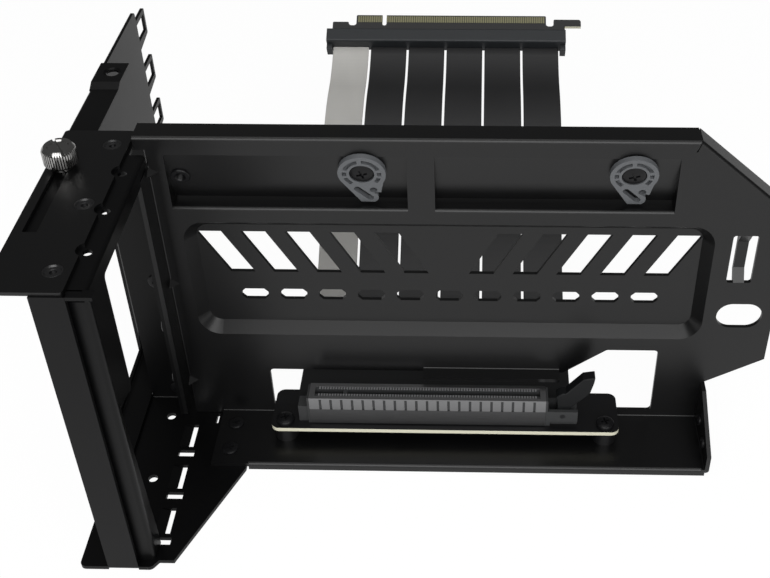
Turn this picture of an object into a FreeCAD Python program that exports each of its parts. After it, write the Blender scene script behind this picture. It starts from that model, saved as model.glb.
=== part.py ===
import FreeCAD, Part
import math
import os

from FreeCAD import Placement, Rotation, Vector

# Upright holder for an expansion card, with its riser ribbon. All sizes are in millimetres.
# Working axes: X runs along the panel from the card frame, Y away from the viewer from the
# panel's front face, Z up from the top of the foot. The finished pieces are moved so that the
# holder stands on Z = 0 with the middle of its outline over the origin.

# Sheet metal
panel_sheet = 1.5
frame_sheet = 1.2
inner_bend = 0.4
outer_bend = 1.2
frame_bend = 1.8
slide_gap = 0.2
fit_gap = 0.1
round_sides = 14

# Main panel
panel_rise = 6.2
panel_top_length = 178.0
panel_length = 211.5
panel_ear = 3.5
shoulder_height = 94.4
waist_height = 31.1
heel_height = 18.8
top_flange_depth = 8.6
fold_strip = 3.0
corner_slit = 0.5
side_flange_depth = 10.0
side_flange_low = 9.0
side_flange_drop = 4.6
side_screw_heights = [49.0, 24.0]
dart_count = 3
dart_drop = 2.6
dart_pitch = 46.3
dart_reach = 3.4
dart_half_height = 2.2

# Base of the panel
base_start = 10.6
base_length = 190.0
base_depth = 27.3
base_screw_lines = [-7.0, -20.0]
base_screw_offset = 0.5
lip_start = 24.3
end_flange_height = 19.0
end_rivet_places = [(-8.0, 7.5), (-18.0, 6.0)]
end_flange_front = 8.0

# Louvre flaps above the recess
louvre_spans = [(5.6, 84.0), (93.0, 172.0)]
louvre_drop = 6.6
louvre_height = 20.6
flap_bottom_gap = 1.2
flap_tilt = 15.0
shelf_depth = 9.0
insert_place = (9.4, 9.9)
insert_radius = 1.6
insert_wall = 0.8
insert_rim = 0.8

# Embossed recess with its vent cut-outs
recess_start = 7.3
recess_margin = 3.0
recess_bottom = 40.2
recess_drop = 6.0
recess_corner = 8.0
recess_depth = 4.0
recess_slope = 3.6
chevron_count = 5
chevron_width = 8.6
chevron_pitch = 15.2
chevron_lean = 10.0
chevron_low_share = 0.518
chevron_share = 0.351
centre_half_gap = 7.0
vent_count = 11
vent_length = 9.5
vent_height = 4.6
vent_corner = 1.4
vent_pitch = 13.8
vent_share = 0.317

# Strap slot, hand hole and riser window of the panel
strap_from_end = 14.4
strap_level = 76.5
strap_width = 8.6
strap_length = 20.0
strap_bar = 3.8
strap_bar_set_back = 3.0
hole_from_end = 12.0
hole_level = 51.5
hole_length = 16.0
hole_height = 10.8
window_start = 30.5
window_end = 172.9
window_low = 4.2
window_left_top = 23.2
window_slope_start = 139.0
window_slope_end = 154.3
window_right_top = 34.6
window_corner = 1.6
window_tab_start = 87.5
window_tab_depth = 5.3

# Card frame
ledge_height = 117.0
ledge_width = 17.0
frame_front = 70.0
frame_back = 1.0
io_front = 55.3
io_back = 10.0
io_drop = 6.0
return_strip_outer = 7.5
strip_fold = 4.0
front_fold = 2.0
ledge_tail = 9.0
ledge_tail_edge = 5.0
leg_cut = 70.0
leg_cut_slope = 4.0
leg_neck = 67.3
leg_toe = 62.6
leg_toe_height = 6.0
card_screw_setback = 4.45
card_screw_first = 11.9
card_pitch = 20.32
card_screw_radius = 1.45

# Foot with its post
foot_left = 25.3
foot_front = 72.9
foot_back = 9.5
foot_step = 2.9
foot_toe = 6.0
foot_heel = 23.5
foot_heel_front = 28.0
foot_corner = 2.0
post_left = 15.6
post_right = 5.4
post_wing = 8.0
wall_left = 18.6
wall_right = 3.0
wall_screw_line = -8.0
wall_screw_heights = [58.0, 5.5]
tongue_first = 12.4
tongue_slot_left = 3.1
tongue_slot_right = 2.2
tongue_slot_length = 11.3
tongue_tab_drop = 1.2
tongue_tab_reach = 3.2
tongue_tab_tip = 0.8
short_slot_left = 2.6
short_slot_right = 3.2
short_slot_length = 3.0
short_slot_web = 1.7
foot_hole_places = [(-9.3, -2.3), (-9.3, -33.7)]
foot_hole_radius = 1.7
locating_slot = (8.3, 9.2, -5.6, -0.6)

# Top plate
plate_left = 28.8
plate_right = 5.9
plate_front = 72.3
plate_back = 11.9
plate_corner = 1.2
plate_screw_line = 11.3
plate_screw_places = [3.5, -29.9, -62.5]
notch_radius = 3.2
adjust_line = 23.5
adjust_front = 44.5
adjust_back = 5.4
adjust_width = 4.4
adjust_corner = 0.4

# Rear slot bracket
rear_inner_face = 28.0
rear_near = 31.0
rear_far = 102.0
rear_arm_front = 44.0
rear_flange_width = 9.0
rear_flange_end = 44.0
end_tab_length = 14.0
end_tab_rise = 1.4
end_tab_hole = 2.2
end_tab_sink = 3.2
end_tab_sink_depth = 0.5
ear_drop = 4.3
ear_height = 10.7
ear_reach = 12.3
ear_window_length = 10.6
ear_window_height = 7.0
ear_taper = 1.8

# Thumbscrew and its nut
thumb_place = -10.0
thumb_radius = 5.4
thumb_height = 6.6
thumb_collar = 3.6
thumb_collar_height = 1.2
thumb_thread = 1.5
thumb_slot = 1.4
thumb_slot_depth = 1.3
knurl_count = 20
knurl_depth = 0.4
knurl_margin = 1.0
thumb_chamfer = 0.6
nut_radius = 4.2
nut_height = 3.0

# Small screws
sunk_head_radius = 3.0
sunk_head_height = 0.6
small_shank = 1.5
pan_head_radius = 2.9
pan_head_height = 1.8
low_head_height = 0.9
board_head_radius = 3.3
plate_screw_length = 3.4
rivet_head_radius = 2.1
rivet_head_height = 1.2

# Cable clips
clip_places = [69.4, 157.5]
clip_drop = 6.2
clip_radius = 7.9
clip_thickness = 1.6
clip_hook = 3.2
clip_floor = 0.6
clip_hub = 4.9
clip_rim = 1.2
clip_tail = 13.4
clip_tail_half = 3.0
clip_neck = 7.4
clip_groove_width = 1.8
clip_groove_lean = 1.6
clip_mouth = 2.4
clip_mouth_low = 12.2
clip_seat = 0.8
clip_head_height = 1.2
clip_screw_radius = 3.9
clip_shank = 1.9

# Riser board and its slot
board_top = 8.5
board_sheet = 1.6
board_left_margin = 13.8
board_right_margin = 15.4
board_front = 16.0
board_width = 20.4
board_corner = 3.0
board_screw_inset = 5.0
board_screw_line = -11.7
standoff_radius = 4.3
slot_line = -9.2
slot_start = 45.4
slot_length = 87.8
slot_width = 7.4
slot_height = 12.3
slot_key = 1.5
card_edge_length = 85.2
slot_cavity_width = 2.3
slot_cavity_depth = 8.6
contact_pitch = 1.0
contact_count = 82
contacts_before_key = 11
key_room = 2.0
shield_sheet = 0.35
shield_margin = 0.8
shield_lip = 1.1
shield_bridge = 2.0
shield_foot_gap = 0.6
shield_slit = 0.9
shield_pitch = 3.9
shield_slit_low = 7.2
shield_slit_high = 12.1
fork_length = 11.0
fork_height = 7.0
latch_pin_height = 4.7
latch_width = 4.2
latch_pin_radius = 1.0
latch_reach = 11.6
latch_rise = 9.8
fork_recess = 2.0
anchor_front = -4.9
anchor_height = 5.0
anchor_margin = 0.5

# Ribbon strips: the side route as (Y, Z) points, the same for every strip
strip_count = 6
strip_width = 15.9
strip_gap = 0.96
strip_start = 41.3
strip_sheet = 0.9
strip_route = [(13.0, 11.2), (38.0, 13.2), (71.0, 26.5), (96.5, 55.0), (121.0, 66.0), (143.6, 67.6), (155.5, 74.3)]

# Card-edge connector at the far end of the ribbon
edge_start = 38.6
edge_length = 106.0
edge_housing_depth = 6.5
edge_housing_above = 5.4
edge_housing_below = 2.4
edge_leg = 2.4
edge_leg_length = 2.6
tongue_start = 51.0
edge_board_depth = 10.0
edge_board_sheet = 1.6
edge_key = 1.9
edge_notch_width = 3.4
edge_notch_level = 4.6
edge_shoulder = 7.2
edge_shoulder_level = 6.4
hook_level = 8.2
hook_end = 151.8
finger_width = 0.7
finger_length = 3.2
finger_sheet = 0.1

# Values worked out from the ones above
floor_level = -panel_sheet
plate_top = ledge_height + frame_sheet
panel_height = ledge_height + panel_rise
side_flange_top = ledge_height - side_flange_drop
io_top = ledge_height - io_drop
ear_top = ledge_height - ear_drop
ear_count = int((ear_top - ear_height - ear_taper - floor_level) / card_pitch) + 1
louvre_top = panel_height - louvre_drop
louvre_bottom = louvre_top - louvre_height
recess_top = louvre_bottom - recess_drop
recess_height = recess_top - recess_bottom
chevron_bottom = recess_bottom + chevron_low_share * recess_height
chevron_height = chevron_share * recess_height
vent_level = recess_bottom + vent_share * recess_height
flap_length = (louvre_height - flap_bottom_gap) / math.cos(math.radians(flap_tilt))
recess_end = base_length - recess_margin
recess_middle = (recess_start + recess_end) / 2
slot_end = slot_start + slot_length
board_start = slot_start - board_left_margin
board_length = slot_end + fork_length + board_right_margin - board_start
cavity_start = slot_start + (slot_length - card_edge_length) / 2
contact_first = (card_edge_length - (contact_count - 1) * contact_pitch - key_room) / 2
key_middle = contact_first + (contacts_before_key - 0.5) * contact_pitch + key_room / 2
slot_top = board_top + slot_height
rear_outer_face = rear_inner_face + frame_sheet
rear_top = ledge_height - slide_gap
middle_x = (panel_length - rear_outer_face) / 2
middle_y = (rear_far + ear_reach - foot_front) / 2
STAND = Vector(-middle_x, -middle_y, -floor_level)


def mapped(plane, a, b, level):
    """The point (a, b) of a plane at its level along the third axis."""
    if plane == "XY":
        return Vector(a, b, level)
    if plane == "XZ":
        return Vector(a, level, b)
    return Vector(level, a, b)


def corner_points(before, corner, after):
    """Start, middle and end of one corner, all the same point where it is sharp."""
    here = Vector(corner[0], corner[1], 0)
    if len(corner) < 3 or corner[2] == 0:
        return [here, None, here]
    back = (Vector(before[0], before[1], 0) - here).normalize()
    ahead = (Vector(after[0], after[1], 0) - here).normalize()
    half = back.getAngle(ahead) / 2
    reach = corner[2] / math.tan(half)
    inward = (back + ahead).normalize()
    middle = here + inward * (corner[2] / math.sin(half) - corner[2])
    return [here + back * reach, middle, here + ahead * reach]


def outline(plane, level, points):
    """A closed wire through (a, b) points; a third number rounds that corner."""
    count = len(points)
    corners = [corner_points(points[i - 1], points[i], points[(i + 1) % count]) for i in range(count)]
    edges = []
    for i, (start, middle, end) in enumerate(corners):
        begin = mapped(plane, start.x, start.y, level)
        finish = mapped(plane, end.x, end.y, level)
        if middle is not None:
            through = mapped(plane, middle.x, middle.y, level)
            edges.append(Part.Arc(begin, through, finish).toShape())
        following = corners[(i + 1) % count][0]
        target = mapped(plane, following.x, following.y, level)
        if finish.distanceToPoint(target) > 1e-6:
            edges.append(Part.LineSegment(finish, target).toShape())
    return Part.Wire(edges)


def slab(plane, low, high, points):
    """A flat outline given thickness from low to high along its third axis."""
    return Part.Face(outline(plane, low, points)).extrude(mapped(plane, 0, 0, high - low))


def rectangle(a0, a1, b0, b1, radius=0):
    return [(a0, b0, radius), (a1, b0, radius), (a1, b1, radius), (a0, b1, radius)]


def block(x0, x1, y0, y1, z0, z1):
    return Part.makeBox(x1 - x0, y1 - y0, z1 - z0, Vector(x0, y0, z0))


def rod(x, y, z, radius, length, direction):
    return Part.makeCylinder(radius, length, Vector(x, y, z), direction)


def prism(radius, low, high):
    """A many-sided rod on Z, for shanks and screw heads and for the small holes that they fill."""
    turns = [2 * math.pi * i / round_sides for i in range(round_sides)]
    return slab("XY", low, high, [(radius * math.cos(turn), radius * math.sin(turn)) for turn in turns])


def screw_hole(place, direction, depth):
    """The cutter of a small screw's hole, as deep on both sides of its place."""
    return seated(prism(small_shank + fit_gap, -depth, depth), place, direction)


def joined(shapes):
    return shapes[0].fuse(shapes[1:]).removeSplitter()


def turned(points):
    """A solid of revolution about Z from (radius, height) points."""
    return Part.Face(outline("XZ", 0, points)).revolve(Vector(0, 0, 0), Vector(0, 0, 1), 360)


def seated(shape, place, direction):
    """The shape moved so that its Z axis points along a direction from a place."""
    moved = shape.copy()
    moved.Placement = Placement(place, Rotation(Vector(0, 0, 1), direction))
    return moved


def screw(head_radius, head_height, shank_radius, shank_length):
    """A plain screw whose head sits on Z = 0."""
    return prism(head_radius, 0, head_height).fuse(prism(shank_radius, -shank_length, 0))


# Main panel

def diagonal_inset():
    """Where the strip that is folded along the upper right corner leaves the flat face."""
    start = Vector(panel_top_length, panel_height, 0)
    end = Vector(panel_length, shoulder_height, 0)
    along = (end - start).normalize()
    inward = Vector(along.y, -along.x, 0) * fold_strip
    return start + inward, end + inward


def panel_face():
    near, far = diagonal_inset()
    strip_top = panel_height - fold_strip
    corner = near + (far - near) * ((near.y - strip_top) / (near.y - far.y))
    return slab("XZ", 0, panel_sheet, [
        (base_length, fold_strip), (base_length, heel_height),
        (panel_length, waist_height), (panel_length, shoulder_height), (far.x, far.y), (corner.x, strip_top),
        (-panel_ear, strip_top), (-panel_ear, plate_top + slide_gap), (0, plate_top + slide_gap),
        (0, side_flange_top), (outer_bend, side_flange_top), (outer_bend, side_flange_low), (0, side_flange_low),
        (0, slide_gap), (base_start, slide_gap), (base_start, fold_strip)])


def halving_line():
    """Two points of the line that halves the panel's upper right corner, above and below its sheet."""
    corner = Vector(panel_top_length, panel_height, 0)
    slope = (Vector(panel_length, shoulder_height, 0) - corner).normalize()
    down = (slope + Vector(-1, 0, 0)).normalize()
    return corner - down * fold_strip, corner + down * (fold_strip + outer_bend)


def corner_cutter(near, far):
    """A cutter along the halved corner, from one distance beside its line to another."""
    over, under = halving_line()
    points = [(over.x + near, over.y), (under.x + near, under.y), (under.x + far, under.y), (over.x + far, over.y)]
    return slab("XZ", -panel_sheet, 2 * top_flange_depth, points)


def panel_top_fold():
    strip = slab("YZ", -panel_ear, panel_top_length, [
        (0, panel_height - fold_strip), (panel_sheet, panel_height - fold_strip),
        (panel_sheet, panel_height - panel_sheet, inner_bend), (top_flange_depth, panel_height - panel_sheet),
        (top_flange_depth, panel_height), (0, panel_height, outer_bend)])
    return strip.cut(corner_cutter(0, panel_length))


def panel_corner_fold():
    """The strip folded back along the cut-off upper right corner."""
    run = Vector(panel_length - panel_top_length, 0, shoulder_height - panel_height)
    strip = slab("YZ", 0, run.Length, [
        (0, -fold_strip), (panel_sheet, -fold_strip), (panel_sheet, -panel_sheet, inner_bend),
        (top_flange_depth, -panel_sheet), (top_flange_depth, 0), (0, 0, outer_bend)])
    strip.Placement = Placement(Vector(panel_top_length, 0, panel_height), Rotation(Vector(1, 0, 0), run))
    return strip.cut(corner_cutter(-panel_length, 0))


def panel_side_fold():
    return slab("XY", side_flange_low, side_flange_top, [
        (outer_bend, 0), (0, 0, inner_bend), (0, -side_flange_depth), (-panel_sheet, -side_flange_depth),
        (-panel_sheet, panel_sheet, outer_bend), (outer_bend, panel_sheet)])


def panel_base():
    plain = [(panel_sheet, fold_strip), (panel_sheet, 0, outer_bend), (-base_depth, 0),
             (-base_depth, panel_sheet), (0, panel_sheet, inner_bend), (0, fold_strip)]
    lipped = [(panel_sheet, fold_strip), (panel_sheet, 0, outer_bend),
              (panel_sheet - base_depth, 0), (panel_sheet - base_depth, floor_level),
              (-base_depth, floor_level), (-base_depth, panel_sheet, outer_bend),
              (0, panel_sheet, inner_bend), (0, fold_strip)]
    return [slab("YZ", base_start, lip_start, plain), slab("YZ", lip_start, base_length, lipped)]


def panel_end_flange():
    inner = base_length
    fold = slab("XZ", -base_depth, panel_sheet, [
        (inner - outer_bend, 0), (inner + panel_sheet, 0, outer_bend), (inner + panel_sheet, end_flange_height),
        (inner, end_flange_height), (inner, panel_sheet, inner_bend), (inner - outer_bend, panel_sheet)])
    above = slab("YZ", inner - outer_bend, inner + 2 * panel_sheet, [
        (-base_depth - 1, end_flange_front), (-base_depth, end_flange_front), (-base_depth / 6, end_flange_height),
        (2 * panel_sheet, end_flange_height), (2 * panel_sheet, 2 * end_flange_height),
        (-base_depth - 1, 2 * end_flange_height)])
    return fold.cut(above)


def dart_heights():
    return [side_flange_top - dart_drop - i * dart_pitch for i in range(dart_count)]


def corner_dart(height):
    """A rib pressed into the corner between the face and the side flange."""
    root = inner_bend / 2
    near = Vector(-root, -dart_reach, height)
    far = Vector(dart_reach, root, height)
    over = Vector(-root, root, height + dart_half_height)
    under = Vector(-root, root, height - dart_half_height)
    sides = [(near, far, over), (far, near, under), (near, over, under), (far, under, over)]
    faces = [Part.Face(Part.makePolygon([a, b, c, a])) for a, b, c in sides]
    return Part.makeSolid(Part.makeShell(faces))


def louvre_opening(start, end):
    low = louvre_bottom - outer_bend
    return block(start, end, -panel_sheet, 2 * panel_sheet, low, louvre_top)


def louvre_shelf(start, end):
    low = louvre_bottom - outer_bend
    return slab("YZ", start, end, [
        (0, low), (panel_sheet, low), (panel_sheet, louvre_bottom - panel_sheet, inner_bend),
        (shelf_depth, louvre_bottom - panel_sheet), (shelf_depth, louvre_bottom), (0, louvre_bottom, outer_bend)])


def louvre_flap(start, end):
    tilt = math.radians(flap_tilt)
    back = flap_length * math.sin(tilt)
    low = louvre_top - flap_length * math.cos(tilt)
    return slab("YZ", start, end, [
        (0, louvre_top + panel_sheet), (0, louvre_top), (back, low),
        (back + panel_sheet * math.cos(tilt), low + panel_sheet * math.sin(tilt)),
        (panel_sheet, louvre_top + panel_sheet * math.tan(tilt / 2)), (panel_sheet, louvre_top + panel_sheet)])


def louvre_cheeks(start, end):
    """The drawn walls that close a louvre's two sides."""
    reach = flap_length * math.sin(math.radians(flap_tilt)) + panel_sheet
    low = louvre_bottom - panel_sheet
    points = [(0, louvre_top), (panel_sheet, louvre_top), (reach, louvre_bottom + flap_bottom_gap),
              (shelf_depth, louvre_bottom), (shelf_depth, low), (0, low)]
    return [slab("YZ", side, side + panel_sheet, points) for side in (start - panel_sheet, end)]


def on_flap(x, down):
    """The placement on a flap's front: local -Y stands out from it, local Z points up it."""
    tilt = math.radians(flap_tilt)
    place = Vector(x, down * math.sin(tilt), louvre_top - down * math.cos(tilt))
    return Placement(place, Rotation(Vector(1, 0, 0), flap_tilt))


def flap_hole(x, down, radius):
    hole = seated(prism(radius, -2 * panel_sheet, 2 * panel_sheet), Vector(0, 0, 0), Vector(0, -1, 0))
    hole.Placement = on_flap(x, down).multiply(hole.Placement)
    return hole


def recess_form(level):
    """The embossed recess as a solid with sloped walls, starting at a level of Y."""
    wide = rectangle(recess_start, recess_end, recess_bottom, recess_top, recess_corner)
    narrow = rectangle(recess_start + recess_slope, recess_end - recess_slope,
                       recess_bottom + recess_slope, recess_top - recess_slope, recess_corner - recess_slope)
    wires = [outline("XZ", level, wide), outline("XZ", level + recess_depth, narrow)]
    return Part.makeLoft(wires, True, True)


def chevron_slots():
    """Slanted vents in a row, mirrored about the middle of the recess."""
    low = chevron_bottom
    high = chevron_bottom + chevron_height
    slots = []
    for side in (-1, 1):
        for i in range(chevron_count):
            inner = recess_middle + side * (centre_half_gap + i * chevron_pitch)
            outer = inner + side * chevron_width
            lean = side * chevron_lean
            points = [(inner, low), (outer, low), (outer + lean, high), (inner + lean, high)]
            slots.append(slab("XZ", recess_depth - 1, recess_depth + 2 * panel_sheet, points))
    return slots


def vent_slots():
    slots = []
    long_half = vent_length / 2
    half = vent_height / 2
    near = long_half - vent_corner
    high = half - vent_corner
    for i in range(vent_count):
        middle = recess_middle + (i - (vent_count - 1) / 2) * vent_pitch
        corners = [(-near, -half), (near, -half), (long_half, -high), (long_half, high), (near, half),
                   (-near, half), (-long_half, high), (-long_half, -high)]
        points = [(middle + a, vent_level + b) for a, b in corners]
        slots.append(slab("XZ", recess_depth - 1, recess_depth + 2 * panel_sheet, points))
    return slots


def strap_slot():
    middle = panel_length - strap_from_end
    points = rectangle(middle - strap_width / 2, middle + strap_width / 2,
                       strap_level - strap_length / 2, strap_level + strap_length / 2, 1.0)
    return slab("XZ", -1, 2 * panel_sheet, points)


def strap_bridge():
    """The bar set back across the strap slot, joined to the sheet at both ends."""
    middle = panel_length - strap_from_end
    low = strap_level - strap_length / 2
    high = strap_level + strap_length / 2
    run = strap_bar_set_back
    points = [(0, low - panel_sheet), (panel_sheet, low - panel_sheet), (panel_sheet + run, low + run),
              (panel_sheet + run, high - run), (panel_sheet, high + panel_sheet), (0, high + panel_sheet),
              (0, high), (run, high - run - panel_sheet), (run, low + run + panel_sheet), (0, low)]
    return slab("YZ", middle - strap_bar / 2, middle + strap_bar / 2, points)


def hand_hole():
    middle = panel_length - hole_from_end
    points = rectangle(middle - hole_length / 2, middle + hole_length / 2, hole_level - hole_height / 2,
                       hole_level + hole_height / 2, hole_height / 2 - 0.01)
    return slab("XZ", -1, 2 * panel_sheet, points)


def riser_window():
    r = window_corner
    return slab("XZ", -1, 2 * panel_sheet, [
        (window_start, window_low, r), (window_end, window_low, r), (window_end, window_right_top, r),
        (window_slope_end, window_right_top, r), (window_slope_start, window_left_top, r),
        (window_start, window_left_top, r)])


def window_tab():
    low = window_left_top
    high = low + fold_strip
    return slab("YZ", window_tab_start, window_slope_start - window_corner, [
        (0, high), (0, low + panel_sheet, inner_bend), (-window_tab_depth, low + panel_sheet),
        (-window_tab_depth, low), (panel_sheet, low, outer_bend), (panel_sheet, high)])


def window_tab_room():
    return block(window_tab_start, window_slope_start - window_corner, -1, 2 * panel_sheet,
                 window_left_top - 1, window_left_top + fold_strip)


def base_screw_places():
    middle = (base_start + foot_heel) / 2 - base_screw_offset
    return [(middle, y) for y in base_screw_lines]


def side_screw_places():
    return [(-side_flange_depth / 2, height) for height in side_screw_heights]


def main_panel():
    sheet = joined([panel_face(), panel_top_fold(), panel_corner_fold(), panel_side_fold(),
                    panel_end_flange()] + panel_base() + [corner_dart(h) for h in dart_heights()])
    sheet = sheet.fuse(recess_form(panel_sheet)).cut(recess_form(0))
    cutters = chevron_slots() + vent_slots()
    cutters += [strap_slot(), hand_hole(), riser_window(), window_tab_room()]
    cutters.append(corner_cutter(-corner_slit / 2, corner_slit / 2))
    cutters += [louvre_opening(start, end) for start, end in louvre_spans]
    deep = 2 * panel_sheet
    cutters += [screw_hole(Vector(x, y, 0), Vector(0, 0, 1), deep) for x, y in base_screw_places()]
    cutters += [screw_hole(Vector(0, y, z), Vector(-1, 0, 0), deep) for y, z in side_screw_places()]
    cutters += [screw_hole(Vector(base_length, y, z), Vector(-1, 0, 0), deep) for y, z in end_rivet_places]
    cutters += [screw_hole(Vector(x, board_screw_line, 0), Vector(0, 0, 1), deep) for x in board_screw_places()]
    sheet = sheet.cut(cutters)
    folded = [strap_bridge(), window_tab()]
    for start, end in louvre_spans:
        folded += [louvre_shelf(start, end), louvre_flap(start, end)] + louvre_cheeks(start, end)
    sheet = joined([sheet] + folded)
    holes = [flap_hole(x, clip_drop, clip_shank + fit_gap) for x in clip_places]
    holes.append(flap_hole(insert_place[0], insert_place[1], insert_radius + insert_wall))
    return sheet.cut(holes)


# Card frame, foot and top plate

def card_screw_places():
    return [-(card_screw_first + i * card_pitch) for i in range(3)]


def frame_side():
    """The frame's upright sheet: a front leg and a strip over the card window."""
    low = ledge_height - strip_fold
    edge = -frame_front + front_fold
    r = window_corner
    return slab("YZ", -frame_sheet, 0, [
        (edge, 0), (-leg_toe, 0), (-leg_toe, leg_toe_height), (-leg_neck, leg_cut, r),
        (-io_front, leg_cut - leg_cut_slope, r), (-io_front, io_top, r), (-io_back, io_top), (-io_back, low),
        (edge, low)])


def frame_rear_leg():
    """The leg behind the card window, stepped out to lie against the panel's side flange."""
    lap = -panel_sheet
    step = side_flange_top + slide_gap
    crease = frame_sheet * math.tan(math.pi / 8)
    return slab("XZ", -io_back, -frame_back, [
        (0, step + panel_sheet), (0, step + panel_sheet + crease), (-frame_sheet, step + panel_sheet + crease),
        (lap - frame_sheet, step + crease), (lap - frame_sheet, side_flange_low), (lap, side_flange_low),
        (lap, step)])


def card_frame():
    """An upright sheet, open below its card window, with the ledge for the card's bracket screws."""
    low = ledge_height - strip_fold
    ledge = slab("XZ", -frame_front, -frame_back, [
        (0, low), (-frame_sheet, low), (-frame_sheet, ledge_height - frame_sheet, inner_bend),
        (-ledge_width, ledge_height - frame_sheet), (-ledge_width, ledge_height),
        (0, ledge_height, outer_bend)])
    tail = block(-ledge_width, -ledge_tail_edge, -frame_back, ledge_tail, ledge_height - frame_sheet, ledge_height)
    edge = -frame_front + front_fold
    strip = slab("XY", 0, low, [
        (0, edge), (0, -frame_front, frame_bend), (-return_strip_outer, -frame_front),
        (-return_strip_outer, -frame_front + frame_sheet), (-frame_sheet, -frame_front + frame_sheet, inner_bend),
        (-frame_sheet, edge)])
    frame = joined([frame_side(), frame_rear_leg(), ledge, tail, strip])
    holes = [rod(-card_screw_setback, y, ledge_height - 2 * frame_sheet, card_screw_radius, 4 * frame_sheet,
                 Vector(0, 0, 1)) for y in card_screw_places()]
    deep = 2 * frame_sheet
    holes += [screw_hole(Vector(-plate_screw_line, y, ledge_height), Vector(0, 0, 1), deep)
              for y in plate_screw_places]
    holes += [screw_hole(Vector(-panel_sheet, y, z), Vector(-1, 0, 0), deep) for y, z in side_screw_places()]
    return frame.cut(holes)


def tongue_slots():
    cutters = []
    for i in range(3):
        back = -(tongue_first + i * card_pitch) + tongue_slot_length / 2
        front = back - tongue_slot_length
        short_back = front - short_slot_web
        cutters.append(block(-tongue_slot_left, tongue_slot_right, front, back, -3, 1))
        cutters.append(block(-short_slot_left, short_slot_right, short_back - short_slot_length, short_back, -3, 1))
    return cutters


def tongue_guides():
    """Tabs pressed down along the long slots, which lead a bracket's tongue in."""
    tabs = []
    for i in range(3):
        middle = -(tongue_first + i * card_pitch)
        half = tongue_slot_length / 2 - slide_gap
        root = -tongue_slot_left
        tip = root + tongue_tab_reach
        tabs.append(slab("XZ", middle - half, middle + half, [
            (root - slide_gap, 0), (root, 0), (tip, -tongue_tab_drop), (tip, floor_level),
            (tip - tongue_tab_tip, floor_level), (root - slide_gap, floor_level)]))
    return tabs


def foot_bracket():
    """The foot plate with the post folded up at its front."""
    step = foot_front - foot_step
    r = foot_corner
    foot = slab("XY", floor_level, 0, [
        (-foot_left, -foot_front, r), (-1, -foot_front, r), (1, -step), (foot_toe, -step),
        (foot_heel, -foot_heel_front), (foot_heel, foot_back, r), (-foot_left, foot_back, r)])
    front = -foot_front
    back = front + panel_sheet
    foot = foot.cut(block(-post_left, -post_right, front - 1, front + fold_strip, floor_level - 1, 1))
    post = slab("YZ", -post_left, -post_right, [
        (front, floor_level, outer_bend), (front + fold_strip, floor_level), (front + fold_strip, 0),
        (back, 0, inner_bend), (back, ledge_height), (front, ledge_height)])
    ledge_under = ledge_height - frame_sheet
    wing = block(-post_left, -post_left + panel_sheet, front, front + post_wing, 2 * fold_strip, ledge_under)
    foot = foot.cut(block(-wall_left, -wall_right, foot_back - fold_strip, foot_back + 1, floor_level - 1, 1))
    inside = foot_back - panel_sheet
    wall = slab("YZ", -wall_left, -wall_right, [
        (foot_back, floor_level, outer_bend), (foot_back - fold_strip, floor_level), (foot_back - fold_strip, 0),
        (inside, 0, inner_bend), (inside, ledge_under), (foot_back, ledge_under)])
    bracket = joined([foot.cut(tongue_slots()), post, wing, wall] + tongue_guides())
    holes = [rod(x, y, -2 * panel_sheet, foot_hole_radius, 4 * panel_sheet, Vector(0, 0, 1))
             for x, y in foot_hole_places]
    deep = 2 * panel_sheet
    holes += [screw_hole(Vector(x, y, 0), Vector(0, 0, 1), deep) for x, y in base_screw_places()]
    holes += [screw_hole(Vector(wall_screw_line, inside, z), Vector(0, -1, 0), deep) for z in wall_screw_heights]
    x0, x1, y0, y1 = locating_slot
    holes.append(block(x0, x1, y0, y1, -2 * panel_sheet, panel_sheet))
    return bracket.cut(holes)


def top_plate():
    plate = slab("XY", ledge_height, plate_top, rectangle(-plate_left, -plate_right, -plate_front, plate_back,
                                                          plate_corner))
    slot = rectangle(-adjust_line - adjust_width / 2, -adjust_line + adjust_width / 2, -adjust_front,
                     -adjust_back, adjust_corner)
    cutters = [slab("XY", ledge_height - 1, plate_top + 1, slot)]
    cutters += [rod(-card_screw_setback, y, ledge_height - 1, notch_radius, 4, Vector(0, 0, 1))
                for y in card_screw_places()]
    for y in plate_screw_places:
        place = Vector(-plate_screw_line, y, plate_top)
        cutters.append(screw_hole(place, Vector(0, 0, 1), 2 * frame_sheet))
        seat = prism(sunk_head_radius + fit_gap, -sunk_head_height, sunk_head_height)
        cutters.append(seated(seat, place, Vector(0, 0, 1)))
    return plate.cut(cutters)


# Rear slot bracket with its thumbscrew

def rear_ear(index):
    top = ear_top - index * card_pitch
    low = top - ear_height
    tip = rear_far + ear_reach
    middle = (top + low) / 2
    half = ear_window_height / 2
    window_start_y = tip - 1.5 - ear_window_length
    ear = slab("YZ", -rear_outer_face, -rear_inner_face, [
        (rear_far - 1, low - ear_taper), (tip, low, 0.8), (tip, top, 0.8), (rear_far - 1, top)])
    window = slab("YZ", -rear_outer_face - 1, -rear_inner_face + 1, rectangle(
        window_start_y, window_start_y + ear_window_length, middle - half, middle + half))
    return ear, window


def rear_arm(low, high, bend_low):
    """A level arm folded from the rear plate; its bend is at its lower or upper edge."""
    inner = -rear_inner_face
    outer = -rear_outer_face
    reach = inner + rear_flange_width
    if bend_low:
        points = [(outer, low, outer_bend), (reach, low), (reach, high),
                  (inner, high, inner_bend), (inner, high + 2), (outer, high + 2)]
    else:
        points = [(outer, high, outer_bend), (reach, high), (reach, low),
                  (inner, low, inner_bend), (inner, low - 2), (outer, low - 2)]
    return slab("XZ", -rear_arm_front, rear_flange_end, points)


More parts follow.
